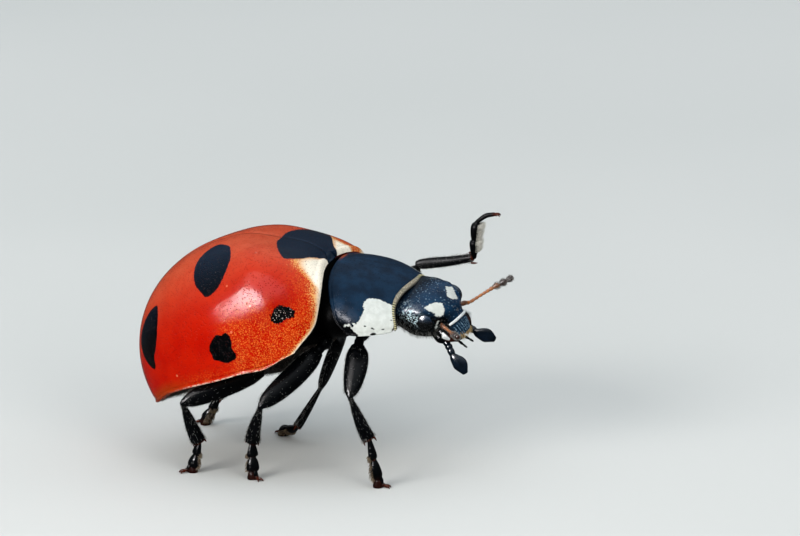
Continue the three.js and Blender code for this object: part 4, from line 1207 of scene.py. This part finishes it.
# the white line across the front of the face
tb = tube([(0.575, 0.34, 0.10), (0.605, 0.2, 0.175), (0.612, 0, 0.2), (0.605, -0.2, 0.175), (0.575, -0.34, 0.10)],
          [0.032, 0.038, 0.040, 0.038, 0.032], [0.030, 0.034, 0.036, 0.034, 0.030], ref=(0.3, 0, 1), n=60, sides=20)
piece("face_front_line", head_to_row(tb["V"]), tb["F"], MAT["white"])


def make_labrum():
    """The upper lip: a short ribbed plate with a bristled front edge."""
    nu, nv = 50, 70
    u, v = np.meshgrid(np.linspace(0, 1, nu), np.linspace(-1, 1, nv), indexing="ij")
    half = mix(0.33, 0.25, u)
    x = mix(0.63, 0.95, u) - 0.05 * v**2 * u
    z = mix(0.165, 0.03, u**1.3) - 0.10 * v**2 - 0.02 * v**4
    ribs = 0.026 * np.cos(v * 9 * math.pi) * smooth(0.05, 0.3, u)
    O = np.stack([x, half * v, z + ribs], -1)
    I = O - np.array([0.02, 0, 0.11])
    V, F, src = plate(O, I, lip=0.03, steps=5)
    rib = smooth(0.35, 0.95, np.cos(v * 9 * math.pi)) * smooth(0.08, 0.3, u)
    piece("upper_lip", head_to_row(V), F, MAT["lip"], {"rib": rib.reshape(-1)[src]}, nodes=("labrum",), weld=True)


make_labrum()


def tinted(parts):
    return join([(p["V"], p["F"], {"tint": t} if not isinstance(t, dict) else t) for p, t in parts])


def limb_piece(name, tubes, material, to_row=lambda p: p, nodes=()):
    """tubes: list of (tube, attrs). One object of several closed shells."""
    V, F, A = join([(t["V"], t["F"], a) for t, a in tubes])
    return piece(name, to_row(V), F, material, A, nodes=nodes)


# jaws
for side, s in (("left", 1), ("right", -1)):
    tb = tube([(0.50, s * 0.46, -0.16), (0.62, s * 0.47, -0.17), (0.76, s * 0.40, -0.18), (0.88, s * 0.26, -0.17), (0.97, s * 0.10, -0.16)],
              [0.10, 0.12, 0.11, 0.08, 0.035], [0.10, 0.12, 0.11, 0.09, 0.05], ref=(0, 0, 1), n=50, sides=28)
    tint = (0.35 if s < 0 else 0.3) * smooth(0.15, 0.45, tb["u"]) * (1 - 0.7 * smooth(0.5, 0.8, tb["u"]))
    limb_piece(f"jaw_{side}", [(tb, {"tint": tint})], MAT["leg"], head_to_row, (f"mandible_{side}",))
    # the pale patch on the jaw's outer face
    tb = tube([(0.58, s * 0.545, -0.08), (0.67, s * 0.56, -0.11), (0.78, s * 0.50, -0.14)], [0.04, 0.085, 0.035], [0.03, 0.045, 0.03],
              ref=(0, 0, 1), n=24, sides=20)
    limb_piece(f"jaw_mark_{side}", [(tb, {"tint": 0.0})], MAT["white"], head_to_row, ())

# jaw feelers: the last piece is wide and cut like an axe head
PALPS = {
    "right": dict(path=[(0.68, -0.38, -0.40), (0.82, -0.43, -0.38), (0.91, -0.51, -0.35), (1.05, -0.57, -0.38)],
                  axe=[(1.06, -0.58, -0.39), (1.18, -0.61, -0.40), (1.41, -0.65, -0.445), (1.62, -0.69, -0.50)], wide=(-0.55, 0.60, 0.58)),
    "left": dict(path=[(0.66, 0.42, -0.42), (0.80, 0.43, -0.36), (0.93, 0.41, -0.28), (1.03, 0.37, -0.22)],
                 axe=[(1.04, 0.36, -0.215), (1.16, 0.385, -0.21), (1.37, 0.46, -0.21), (1.56, 0.55, -0.21)], wide=(-0.45, 0.35, 0.82)),
}
for side, p in PALPS.items():
    q = np.array(p["path"])
    parts = []
    for i, (a, b) in enumerate(zip(q[:-1], q[1:])):
        r = (0.075, 0.084, 0.08)[i]
        d = unit(b - a)
        parts.append((tube([a + d * 0.01, mix(a, b, 0.5), b - d * 0.005], [r * 0.8, r * 1.1, r * 1.05], ref=(0, 0, 1), n=22, sides=20), {"tint": 0.0}))
    e = np.array(p["axe"])
    wide = unit(np.array(p["wide"]))
    e2 = e + np.outer([0, 0.0, 0.035, 0.02], wide)
    parts.append((tube(e2, [0.06, 0.125, 0.18, 0.075], [0.055, 0.078, 0.085, 0.045], ref=wide, n=44, sides=32, caps=(0.7, 0.6)), {"tint": 0.0}))
    limb_piece(f"jaw_feeler_{side}", parts, MAT["palp"], head_to_row, (f"maxillary_palp_{side}",))

# lower lip with its two short feelers
parts = [(tube([(0.46, 0, -0.50), (0.68, 0, -0.47), (0.86, 0, -0.42)], [0.10, 0.11, 0.07], [0.25, 0.23, 0.15], ref=(0, 0, 1), n=24, sides=28), {"tint": 0.0})]
for s in (1, -1):
    for a, b, r in (((0.84, s * 0.10, -0.38), (0.95, s * 0.125, -0.35), 0.034), ((0.96, s * 0.126, -0.348), (1.08, s * 0.14, -0.325), 0.036),
                    ((1.09, s * 0.141, -0.323), (1.20, s * 0.15, -0.31), 0.028)):
        a, b = np.array(a), np.array(b)
        parts.append((tube([a, mix(a, b, 0.5), b], [r * 0.8, r, r * 0.7], ref=(0, 0, 1), n=16, sides=16), {"tint": 0.1}))
limb_piece("lower_lip", parts, MAT["leg"], head_to_row, ("labium",))
# cheek and throat: the parts of the lower jaws that fill the mouth's underside
parts = []
for s in (1, -1):
    parts.append((tube([(0.44, s * 0.36, -0.42), (0.58, s * 0.42, -0.40), (0.72, s * 0.40, -0.38)], [0.12, 0.12, 0.07], [0.12, 0.11, 0.07], ref=(0, 0, 1), n=20, sides=24), {"tint": 0.0}))
    parts.append((tube([(0.70, s * 0.30, -0.33), (0.82, s * 0.27, -0.30), (0.94, s * 0.20, -0.28)], [0.06, 0.055, 0.03], [0.06, 0.05, 0.03], ref=(0, 0, 1), n=18, sides=18), {"tint": 0.5}))
limb_piece("lower_jaws", parts, MAT["leg"], head_to_row, ())

# feelers: a long first piece, small round ones, then a loose club of three
ANTENNAE = {
    "left": [(0.36, 0.36, 0.10), (0.43, 0.58, 0.08), (0.49, 0.80, 0.0), (0.56, 1.10, 0.08), (0.65, 1.45, 0.20), (0.74, 1.72, 0.29), (0.83, 2.0, 0.39)],
    "right": [(0.42, -0.50, 0.10), (0.48, -0.59, 0.16), (0.56, -0.68, 0.26), (0.68, -0.83, 0.42), (0.82, -1.0, 0.60), (0.95, -1.14, 0.76), (1.06, -1.28, 0.92)],
}
FEELERS = {}
for side, path in ANTENNAE.items():
    path = np.array(path)
    line = curve(np.column_stack([np.arange(len(path)), path]))
    s = np.linspace(0, len(path) - 1, 400)
    L = line(s)
    arc = np.concatenate([[0], np.cumsum(np.linalg.norm(np.diff(L, axis=0), axis=1))])
    at = lambda d: np.stack([np.interp(d, arc, L[:, k]) for k in range(3)], -1)
    total = arc[-1]
    lengths = np.array([0.24, 0.13, 0.15, 0.10, 0.11, 0.09, 0.09, 0.09, 0.16, 0.17, 0.17])
    radii = np.array([0.062, 0.048, 0.041, 0.038, 0.037, 0.038, 0.041, 0.048, 0.070, 0.080, 0.070]) * (1.0 if side == "left" else 0.85)
    lengths = lengths / lengths.sum() * total
    parts, begin = [], 0.0
    for i, (ln, r) in enumerate(zip(lengths, radii)):
        a, b = begin + 0.006, begin + ln - 0.006
        pts = at(np.linspace(a, b, 5))
        shape = [0.62, 0.85, 0.95, 1.0, 0.86] if i < 8 else [0.45, 0.75, 1.0, 1.06, 0.85]
        tb = tube(pts, np.array(shape) * r, ref=(1, 0, 0.2), n=18, sides=18, caps=(0.6, 0.55))
        ring = smooth(0.12, 0.0, tb["u"]) * 0.5 + smooth(0.9, 1.0, tb["u"]) * 0.4
        tone = [0.75, 0.1, 0, 0, 0.0, 0.05, 0.15, 0.3, 0.7, 0.9, 1.0][i]
        parts.append((tb, {"tint": tone + 0 * tb["u"], "ring": ring}))
        begin += ln
    FEELERS[side] = [p[0] for p in parts]
    limb_piece(f"feeler_{side}", parts, MAT["feeler"], head_to_row, (f"antenna_{side}",))

# ---------------------------------------------------------------------------------------------
# Legs
# ---------------------------------------------------------------------------------------------
LEGS = {
    "front_right": dict(hip=shield_to_row((0.3, -0.42, -0.5)), thigh=stand(-1.0, -5.5, 1.9), knee=stand(-2.0, -5.575, 0.843),
                        ankle=stand(-1.95, -6.066, -0.252), sole=np.array([-1.9 + ORIGIN[0], -6.26 + ORIGIN[1], 0.0]), toward=(0.0, -1.0, 0.2), k=1.0),
    "middle_right": dict(hip=body_to_row((4.6, -0.6, -0.68)), thigh=body_to_row((4.75, -1.35, -0.46)), root=body_to_row((5.0, -0.85, -0.30)), top=body_to_row((4.86, -1.2, -0.40)), knee=stand(-2.7, -3.5, 0.645),
                         ankle=stand(-1.95, -3.067, -0.517), sole=np.array([-2.0 + ORIGIN[0], -3.1 + ORIGIN[1], 0.0]), toward=(-0.6, -0.8, 0.1), k=1.05),
    "hind_right": dict(hip=body_to_row((3.3, -0.55, -0.66)), thigh=body_to_row((3.32, -1.4, -0.44)), root=body_to_row((3.4, -0.8, -0.36)), top=body_to_row((3.38, -1.35, -0.30)), knee=stand(-2.35, -1.41, 0.48),
                       ankle=stand(-1.8, -1.68, -0.66), sole=np.array([-1.8 + ORIGIN[0], -1.5 + ORIGIN[1], 0.0]), toward=(-0.5, 0.8, 0.1), k=1.05),
    "middle_left": dict(hip=body_to_row((4.6, 0.6, -0.68)), thigh=stand(1.47, -4.45, 1.6), knee=stand(2.0, -3.686, -0.144),
                        ankle=stand(1.6, -3.16, -1.12), sole=np.array([1.95 + ORIGIN[0], -2.74 + ORIGIN[1], 0.0]), toward=(0.6, 0.6, 0.0), k=0.95),
    "hind_left": dict(hip=body_to_row((3.3, 0.55, -0.66)), thigh=body_to_row((3.32, 1.4, -0.44)), knee=stand(2.5, -1.5, 0.3),
                      ankle=stand(2.3, -0.95, -0.7), sole=np.array([2.4 + ORIGIN[0], -0.6 + ORIGIN[1], 0.0]), toward=(0.3, 0.9, 0.0), k=1.0),
    "front_left": dict(hip=shield_to_row((0.3, 0.42, -0.5)), thigh=stand(1.0, -5.62, 2.2), knee=stand(2.5, -6.04, 2.98),
                       ankle=stand(2.42, -7.52, 3.37), toe=stand(2.3, -7.63, 4.3), claw=stand(2.35, -8.1, 4.53), toward=(0, -1, 0), k=1.0),
}
LEG_TUBES = {}


def claw_pair(tip, along, down, spread, size):
    """Two curved claws with a small inner tooth each."""
    out = []
    for s in (1, -1):
        d = unit(along + spread * s * 0.45)
        p = [tip - d * 0.02, tip + d * size * 0.45 + down * size * 0.08, tip + d * size * 0.78 + down * size * 0.32, tip + d * size * 0.9 + down * size * 0.66]
        out.append((tube(p, [0.034, 0.03, 0.02, 0.006], ref=down, n=20, sides=12), {"tint": 0.5}))
        q = tip + d * size * 0.22 + down * size * 0.12
        out.append((tube([q, q + down * size * 0.2 + d * size * 0.12, q + down * size * 0.34 + d * size * 0.26], [0.026, 0.018, 0.006], ref=d, n=10, sides=10), {"tint": 0.45}))
    return out


def make_leg(name, g):
    thigh, knee, ankle, k = g["thigh"], g["knee"], g["ankle"], g["k"]
    bend = unit(np.cross(knee - thigh, ankle - knee))
    if name.endswith("right") or name == "front_left":
        # the broad faces of the thighs and shins on this side are turned outwards
        bend = unit(np.array([-0.93, -0.26, 0.26]))
    tubes = {}
    hip = g["hip"]
    if "root" in g:
        # the thigh runs on into the groove of the breast, past the joint
        hip, thigh = g["root"], g["top"]
    c = mix(hip, thigh, 0.55)
    tubes["coxa"] = tube([hip, mix(hip, c, 0.5), c], [0.2, 0.2, 0.13], [0.18, 0.17, 0.12], ref=bend, n=20, sides=24)
    d = unit(thigh - c)
    tubes["trochanter"] = tube([c + d * 0.02, mix(c, thigh, 0.6), thigh + unit(knee - thigh) * 0.1], [0.10, 0.12, 0.10], ref=bend, n=18, sides=20)
    # thigh: flat, widest before its middle
    f = unit(knee - thigh)
    wide = unit(np.cross(bend, f))
    L = np.linalg.norm(knee - thigh)
    bow = wide * (0.0 if name == "hind_right" else 0.03)
    pts = [thigh + f * L * a + bow * b for a, b in ((0.03, 0), (0.18, 0.8), (0.42, 1.2), (0.68, 0.8), (0.88, 0.2), (0.985, 0))]
    broad = np.array([0.17, 0.265, 0.282, 0.245, 0.175, 0.085]) if name == "front_right" else np.array([0.16, 0.235, 0.262, 0.245, 0.185, 0.095])
    tubes["femur"] = tube(pts, np.array([0.10, 0.15, 0.165, 0.15, 0.115, 0.07]) * k, broad * k,
                          ref=bend, n=54, sides=36, caps=(0.7, 0.8))
    # shin: thin at the knee, widening to a cut end with a brown tooth
    t = unit(ankle - knee)
    M = np.linalg.norm(ankle - knee)
    w2 = unit(np.cross(bend, t))
    pts = [knee + t * M * a + w2 * b for a, b in ((-0.01, 0), (0.12, 0.0), (0.35, -0.01), (0.62, -0.02), (0.86, -0.01), (0.965, 0))]
    shin = np.array([0.06, 0.068, 0.115, 0.150, 0.172, 0.160])
    if name == "front_left":
        pts = [q + np.array([0, 0, 0.07 * (1 - a)]) for q, a in zip(pts, (0, 0.12, 0.35, 0.62, 0.86, 1.0))]
        shin = np.array([0.10, 0.125, 0.130, 0.118, 0.105, 0.09])
    tubes["tibia"] = tube(pts, np.array([0.055, 0.062, 0.085, 0.105, 0.115, 0.105]) * k, shin * k,
                          ref=bend, n=48, sides=30, caps=(0.8, 0.25))
    tint = {n: 0.0 for n in tubes}
    tint["tibia"] = 0.42 * smooth(0.9, 1.0, tubes["tibia"]["u"])
    limb_piece(f"{name}_coxa_skin", [(tubes["coxa"], {"tint": 0.0}), (tubes["trochanter"], {"tint": 0.06})], (MAT["leg_raised"] if name == "front_left" else MAT["leg"]), nodes=(f"{name}_coxa",))
    limb_piece(f"{name}_femur_skin", [(tubes["femur"], {"tint": 0.12 * smooth(0.94, 1.0, tubes["femur"]["u"])})], (MAT["leg_raised"] if name == "front_left" else MAT["leg"]), nodes=(f"{name}_femur",))
    spurs = []
    end = tubes["tibia"]["C"][-1]
    for s in (1, -1):
        q = end + w2 * s * 0.125 * k - t * 0.05
        spurs.append((tube([q, q + t * 0.075 + w2 * s * 0.02, q + t * 0.15 + w2 * s * 0.03], [0.032, 0.024, 0.006], ref=bend, n=12, sides=10), {"tint": 0.62}))
    limb_piece(f"{name}_tibia_skin", [(tubes["tibia"], {"tint": tint["tibia"]})] + spurs, (MAT["leg_raised"] if name == "front_left" else MAT["leg"]), nodes=(f"{name}_tibia",))
    # foot: first piece widens, second carries hair pads, then the thin claw piece
    start = ankle - t * 0.02
    parts, pads = [], []
    if "sole" in g:
        sole = g["sole"]
        f1 = unit(sole + np.array([0, 0, 0.12]) - start)
        ln = np.linalg.norm(sole + np.array([0, 0, 0.12]) - start)
        toe_dir = unit(np.array([g["toward"][0], g["toward"][1], 0.0]))
        if ln > 0.75:
            p1 = start + f1 * ln * 0.46
            p2 = start + f1 * ln * 0.92
        else:
            p1 = start + f1 * ln * 0.5
            p2 = start + f1 * ln * 0.98
        front = unit(toe_dir - f1 * (toe_dir @ f1))
        wide = unit(np.cross(f1, front))
        a1 = tube([start, mix(start, p1, 0.45), mix(start, p1, 0.85), p1], [0.055, 0.085, 0.10, 0.06], [0.065, 0.125, 0.155, 0.09], ref=front, n=28, sides=24)
        a2 = tube([p1 - f1 * 0.02, mix(p1, p2, 0.35), mix(p1, p2, 0.8), p2 + f1 * 0.02], [0.06, 0.115, 0.14, 0.07], [0.075, 0.15, 0.165, 0.10], ref=front, n=30, sides=26)
        parts += [(a1, {"tint": 0.05 + 0.35 * smooth(0.6, 1.0, a1["u"])}), (a2, {"tint": 0.05 + 0.2 * smooth(0.3, 0.9, a2["u"])})]
        # small third piece and claw piece, bent forward to the ground
        p3 = np.array([p2[0], p2[1], 0.085]) + toe_dir * 0.06
        p4 = p3 + toe_dir * 0.10 + np.array([0, 0, -0.03])
        a3 = tube([mix(p1, p2, 0.75) + toe_dir * 0.05, mix(mix(p1, p2, 0.75) + toe_dir * 0.05, p3, 0.6) + toe_dir * 0.05, p3 + toe_dir * 0.03], [0.05, 0.055, 0.06], ref=(0, 0, 1), n=20, sides=18)
        a4 = tube([p3, p4 + np.array([0, 0, 0.015])], [0.055, 0.05], ref=(0, 0, 1), n=14, sides=16)
        parts += [(a3, {"tint": 0.15}), (a4, {"tint": 0.3})]
        side = np.cross(toe_dir, np.array([0, 0, 1.0]))
        parts += claw_pair(p4 + np.array([0, 0, 0.01]), toe_dir, np.array([0, 0, -0.11 / 0.2 * 0.9]), side, 0.2)
        back = -front
        pads = [(a1, 0.55, 1.0, back), (a2, 0.15, 1.0, back)]
        # the flat sole under the last lobes, at floor level
        foot = np.array([sole[0], sole[1], 0.0])
        a5 = tube([foot + np.array([0, 0, 0.17]), foot + np.array([0, 0, 0.06]), foot + np.array([0, 0, 0.004])], [0.10, 0.13, 0.125], [0.12, 0.145, 0.14], ref=toe_dir, n=14, sides=26, caps=(0.5, 0.0))
        parts += [(a5, {"tint": 0.28})]
    else:
        toe, claw = g["toe"], g["claw"]
        f1 = unit(toe - start)
        ln = np.linalg.norm(toe - start)
        p1, p2 = start + f1 * ln * 0.48, start + f1 * ln * 0.98
        front = unit(np.array([0, -1.0, 0]) - f1 * (np.array([0, -1.0, 0]) @ f1))
        off = -front * 0.03
        a1 = tube([start, mix(start, p1, 0.45) + off * 0.5, mix(start, p1, 0.85) + off, p1 + off], [0.06, 0.10, 0.115, 0.08], [0.065, 0.12, 0.15, 0.10], ref=front, n=28, sides=24)
        a2 = tube([p1 + off - f1 * 0.02, mix(p1, p2, 0.35) + off, mix(p1, p2, 0.8) + off, p2 + off * 0.5], [0.07, 0.115, 0.12, 0.06], [0.08, 0.15, 0.16, 0.08], ref=front, n=30, sides=26)
        m = mix(toe, claw, 0.45) + np.array([0, 0, 0.07])
        a3 = tube([p2 + off, toe + np.array([0, -0.05, 0.06]), m, mix(m, claw, 0.75)], [0.05, 0.055, 0.06, 0.05], ref=(1, 0, 0), n=28, sides=18)
        parts += [(a1, {"tint": 0.08}), (a2, {"tint": 0.08}), (a3, {"tint": 0.05 + 0.3 * smooth(0.8, 1.0, a3["u"])})]
        parts += claw_pair(mix(m, claw, 0.75), unit(claw - m), unit(np.array([0, 0.2, -1.0])) * 0.6, np.array([1.0, 0, 0]), 0.2)
        pads = [(a1, 0.25, 1.0, front), (a2, 0.05, 0.95, front)]
    limb_piece(f"{name}_foot", parts, (MAT["leg_raised"] if name == "front_left" else MAT["leg"]), nodes=(f"{name}_tarsus",))
    LEG_TUBES[name] = dict(tubes=tubes, wide=wide, w2=w2, bend=bend, pads=pads)


for name, g in LEGS.items():
    make_leg(name, g)

# ---------------------------------------------------------------------------------------------
# Hairs
# ---------------------------------------------------------------------------------------------
TAU = 2 * math.pi


def leg_hairs():
    for name, L in LEG_TUBES.items():
        coat = Coat(f"{name}_hairs", MAT["pale_hair"], "leg")
        column = {"femur": 0.0, "tibia": 0.34, "coxa": 0.67}
        for part, count, length, width in (("femur", 380, 0.06, 0.0026), ("tibia", 460, 0.065, 0.0028), ("coxa", 60, 0.06, 0.0026)):
            tb = L["tubes"][part]
            u = RNG.uniform(0.03, 0.97, count)
            w = RNG.uniform(0, TAU, count)
            # most hairs stand along the two thin edges
            edge = RNG.random(count) < 0.55
            w = np.where(edge, np.where(RNG.random(count) < 0.5, math.pi / 2, -math.pi / 2) + RNG.normal(0, 0.2, count), w)
            P, N, T = on_tube(tb, u, w)
            lie = np.where(edge, 0.9, 1.7)[:, None]
            D = N + T * lie + RNG.normal(0, 0.12, (count, 3))
            size = length * RNG.uniform(0.7, 1.25, count) * np.where(edge, 1.0, 0.75)
            if part == "tibia":
                size = size * mix(0.55, 1.15, u)
            uv = np.stack([column[part] + 0.32 * (w % TAU) / TAU, u], -1)
            coat.add(P, D, T * 0.5, size, width, uv)
        coat.finish()
        pad = Coat(f"{name}_pad_hairs", MAT["pad_hair"] if name != "front_left" else MAT["pad_pale"], "foot")
        for i, (tb, u0, u1, facing) in enumerate(L["pads"]):
            count = 560 if name != "front_left" else 1900
            u = RNG.uniform(u0, u1, count)
            w = RNG.uniform(0, TAU, count)
            P, N, T = on_tube(tb, u, w)
            keep = (N @ facing) > (0.25 if name != "front_left" else 0.62)
            P, N, T, u, w = P[keep], N[keep], T[keep], u[keep], w[keep]
            D = N * 0.6 + facing * 0.6 + T * (0.9 if name != "front_left" else 0.5) + RNG.normal(0, 0.08, P.shape)
            size = RNG.uniform(0.06, 0.11, len(P)) * (1.0 if name != "front_left" else 1.6)
            if name != "front_left":
                low = P[:, 2] + D[:, 2] / np.linalg.norm(D, axis=1) * size < 0.01
                P, D, T, size, u, w = P[~low], D[~low], T[~low], size[~low], u[~low], w[~low]
            pad.add(P, D, T * 0.5, size, 0.0045, np.stack([0.5 * i + 0.48 * w / TAU, u], -1))
        pad.finish()


def skin_hairs():
    # head: short pale hairs, lying towards the mouth, longer under the cheeks
    coat = Coat("head_hairs", MAT["pale_hair"], "black_cuticle")
    nx, nf = HEAD_X.shape
    i = RNG.integers(4, nx - 4, 5600)
    j = RNG.integers(0, nf, 5600)
    P, N = HEAD_P[i, j], HEAD_N[i, j]
    eye_c = np.array([0.03, 0.62, -0.03])
    q = (np.stack([P[:, 0], np.abs(P[:, 1]), P[:, 2]], -1) - eye_c) / np.array([0.27, 0.30, 0.27])
    keep = (np.linalg.norm(q, axis=1) > 1.0) & (P[:, 0] > -0.62) & (RNG.random(len(P)) < np.where(N[:, 2] > 0.2, 0.12, 0.75))
    P, N, i, j = P[keep], N[keep], i[keep], j[keep]
    D = N * np.where(N[:, 2] > 0.1, 0.55, 1.1)[:, None] + np.array([0.8, 0, 0]) + RNG.normal(0, 0.14, P.shape)
    size = np.where(N[:, 2] > 0.1, 0.034, 0.085) * RNG.uniform(0.7, 1.3, len(P))
    to = head_to_row(P + D) - head_to_row(P)
    coat.add(head_to_row(P), to, np.array([0, 0, -0.3]) + 0 * P, size, 0.0024, np.stack([j / nf, i / nx], -1))
    coat.finish()
    # upper lip: golden bristles on its front edge
    coat = Coat("lip_bristles", MAT["gold_hair"], "black_cuticle")
    n = 70
    v = RNG.uniform(-0.95, 0.95, n)
    u = RNG.uniform(0.72, 1.0, n)
    P = np.stack([mix(0.63, 0.95, u) - 0.05 * v**2 * u + 0.015, mix(0.33, 0.25, u) * v, mix(0.165, 0.03, u**1.3) - 0.10 * v**2 - 0.03], -1)
    D = np.stack([np.full(n, 1.0), 0.25 * v, np.full(n, -0.55)], -1) + RNG.normal(0, 0.1, (n, 3))
    coat.add(head_to_row(P), head_to_row(P + D) - head_to_row(P), head_to_row(P + np.array([0, 0, -0.6])) - head_to_row(P),
             RNG.uniform(0.13, 0.22, n), 0.0075, np.stack([(v + 1) / 2, u], -1))
    coat.finish()
    # feelers: pale hairs, thick on the club
    for side, parts in FEELERS.items():
        coat = Coat(f"feeler_{side}_hairs", MAT["pale_hair"], "feeler")
        for k, tb in enumerate(parts):
            n = 12 if k < 8 else 80
            u, w = RNG.uniform(0.05, 1.0, n), RNG.uniform(0, TAU, n)
            P, N, T = on_tube(tb, u, w)
            D = N + T * 0.9 + RNG.normal(0, 0.15, P.shape)
            coat.add(head_to_row(P), head_to_row(P + D) - head_to_row(P), (head_to_row(P + T) - head_to_row(P)) * 0.5,
                     RNG.uniform(0.04, 0.07, n) * (0.8 if k < 8 else 1.0), 0.0034 if k < 8 else 0.006, np.stack([w / TAU, (k + u) / 11.2], -1))
        coat.finish()
    # belly and breast: short pale hairs lying back
    coat = Coat("belly_hairs", MAT["dark_hair"], "underside")
    nu, m = TRUNK.shape[:2]
    i = RNG.integers(6, nu - 6, 4200)
    j = RNG.integers(44, m - 4, 4200)
    P = TRUNK[i, j]
    N = unit(np.cross(TRUNK[np.clip(i + 1, 0, nu - 1), j] - TRUNK[i - 1, j], TRUNK[i, np.clip(j + 1, 0, m - 1)] - TRUNK[i, j - 1]))
    N = np.where(N[:, 2:] > 0, -N, N)
    D = N * 0.8 + np.array([-0.9, 0, 0]) + RNG.normal(0, 0.15, P.shape)
    coat.add(body_to_row(P), D @ ROW_BODY.T, np.array([0, 0, -0.2]) + 0 * P, RNG.uniform(0.06, 0.11, len(P)), 0.0032, np.stack([j / m, i / nu], -1))
    coat.finish()
    # collar underside
    coat = Coat("collar_hairs", MAT["dark_hair"], "underside")
    ns, m = COLLAR.shape[:2]
    i = RNG.integers(2, ns - 2, 2200)
    j = RNG.integers(72, m - 2, 2200)
    P = COLLAR[i, j]
    D = np.array([0.7, 0, -0.9]) + RNG.normal(0, 0.2, P.shape)
    coat.add(shield_to_row(P), shield_to_row(P + D) - shield_to_row(P), 0 * P, RNG.uniform(0.06, 0.11, len(P)), 0.0032, np.stack([j / m, i / ns], -1))
    coat.finish()


leg_hairs()
skin_hairs()

# ---------------------------------------------------------------------------------------------
# Floor, light and camera
# ---------------------------------------------------------------------------------------------
def floor_material():
    n = Nodes("floor_paper")
    n.set(Roughness=0.9, Specular_IOR_Level=0.2)
    color = n.blend(n.span(n.noise(30.0, 2.0), 0.3, 0.7), lin(198, 199, 196), lin(204, 204, 201))
    return n.done(color)


fm = bpy.data.meshes.new("floor")
fm.from_pydata([(-1.5, -1.5, 0), (1.5, -1.5, 0), (1.5, 1.5, 0), (-1.5, 1.5, 0)], [], [(0, 1, 2, 3)])
floor = bpy.data.objects.new("floor", fm)
floor.data.materials.append(floor_material())
bpy.context.scene.collection.objects.link(floor)
floor.visible_glossy = False  # the paper lights the model from below but isn't mirrored in it

RIGHT = np.array([0.2707, -0.9626, -0.0022])
UP = np.array([0.2542, 0.0694, 0.9646])
BACK = np.array([-0.9285, -0.2616, 0.2635])
RIGHT = unit(RIGHT - BACK * (RIGHT @ unit(BACK)) / 1.0)
UP = np.cross(unit(BACK), RIGHT)
target = RIGHT * 6.0486 + UP * 3.0762 + unit(BACK) * 2.7 + ORIGIN
DISTANCE, FRAME_WIDTH = 400.0, 19.584
cam = bpy.data.cameras.new("camera")
cam.sensor_width = 36.0
cam.lens = 36.0 * DISTANCE / FRAME_WIDTH
cam.clip_start, cam.clip_end = 0.01, 10.0
camera = bpy.data.objects.new("camera", cam)
axes = Matrix(np.stack([RIGHT, UP, unit(BACK)], -1).tolist())
camera.matrix_world = Matrix.Translation(Vector(((target + unit(BACK) * DISTANCE) * MM).tolist())) @ axes.to_4x4()
bpy.context.scene.collection.objects.link(camera)
bpy.context.scene.camera = camera

world = bpy.data.worlds.new("studio")
bpy.context.scene.world = world
world.use_nodes = True
wt = world.node_tree
wt.nodes.clear()
wo = wt.nodes.new("ShaderNodeOutputWorld")
wb = wt.nodes.new("ShaderNodeBackground")
wc = wt.nodes.new("ShaderNodeTexCoord")
ws = wt.nodes.new("ShaderNodeSeparateXYZ")
wr = wt.nodes.new("ShaderNodeValToRGB")
wt.links.new(wc.outputs["Generated"], ws.inputs[0])
wt.links.new(ws.outputs["Z"], wr.inputs[0])
wt.links.new(wr.outputs[0], wb.inputs[0])
wt.links.new(wb.outputs[0], wo.inputs[0])
ramp = wr.color_ramp
ramp.interpolation = "EASE"
ramp.elements[0].position, ramp.elements[0].color = 0.0, (0.035, 0.037, 0.037, 1)
ramp.elements[1].position, ramp.elements[1].color = 1.0, (0.84, 0.93, 1.0, 1)
for place, color in ((0.28, (0.06, 0.064, 0.066, 1)), (0.55, (0.25, 0.27, 0.285, 1)), (0.8, (0.68, 0.73, 0.77, 1))):
    ramp.elements.new(place).color = color
wb.inputs[1].default_value = 1.6


def lamp(name, direction, distance, size, power, color=(1, 1, 1), seen=True, shape="RECTANGLE", roll=0.0):
    d = bpy.data.lights.new(name, "AREA")
    d.shape = shape
    d.size, d.size_y = size[0] * MM, size[1] * MM
    d.energy, d.color = power, color
    o = bpy.data.objects.new(name, d)
    place = np.array([0.0, 0.0, 3.0]) + unit(np.array(direction, float)) * distance
    o.location = (place * MM).tolist()
    aim = Vector((np.array([0.0, 0.0, 3.0]) - place).tolist())
    o.rotation_euler = aim.to_track_quat("-Z", "Y").to_euler()
    o.rotation_euler.rotate_axis("Z", math.radians(roll))
    o.visible_glossy = seen
    bpy.context.scene.collection.objects.link(o)
    return o


lamp("key", (-0.779, 0.432, 0.454), 120, (62, 27), 0.10, (1.0, 0.98, 0.95), seen=False)
shine = lamp("shine", (-0.765, 0.43, 0.468), 121, (58, 30), 0.50, (1.0, 0.98, 1.0), shape="ELLIPSE", roll=-10)
glow = lamp("glow", (-0.62, 0.28, 0.73), 130, (100, 90), 0.17, (1.0, 0.95, 0.93), shape="ELLIPSE")
for o in (shine, glow):
    o.visible_diffuse = False
lamp("front", (-0.75, -0.75, 0.6), 200, (90, 90), 0.14, (1.0, 0.99, 0.96), seen=False)
bpy.context.scene.view_settings.view_transform = "Standard"
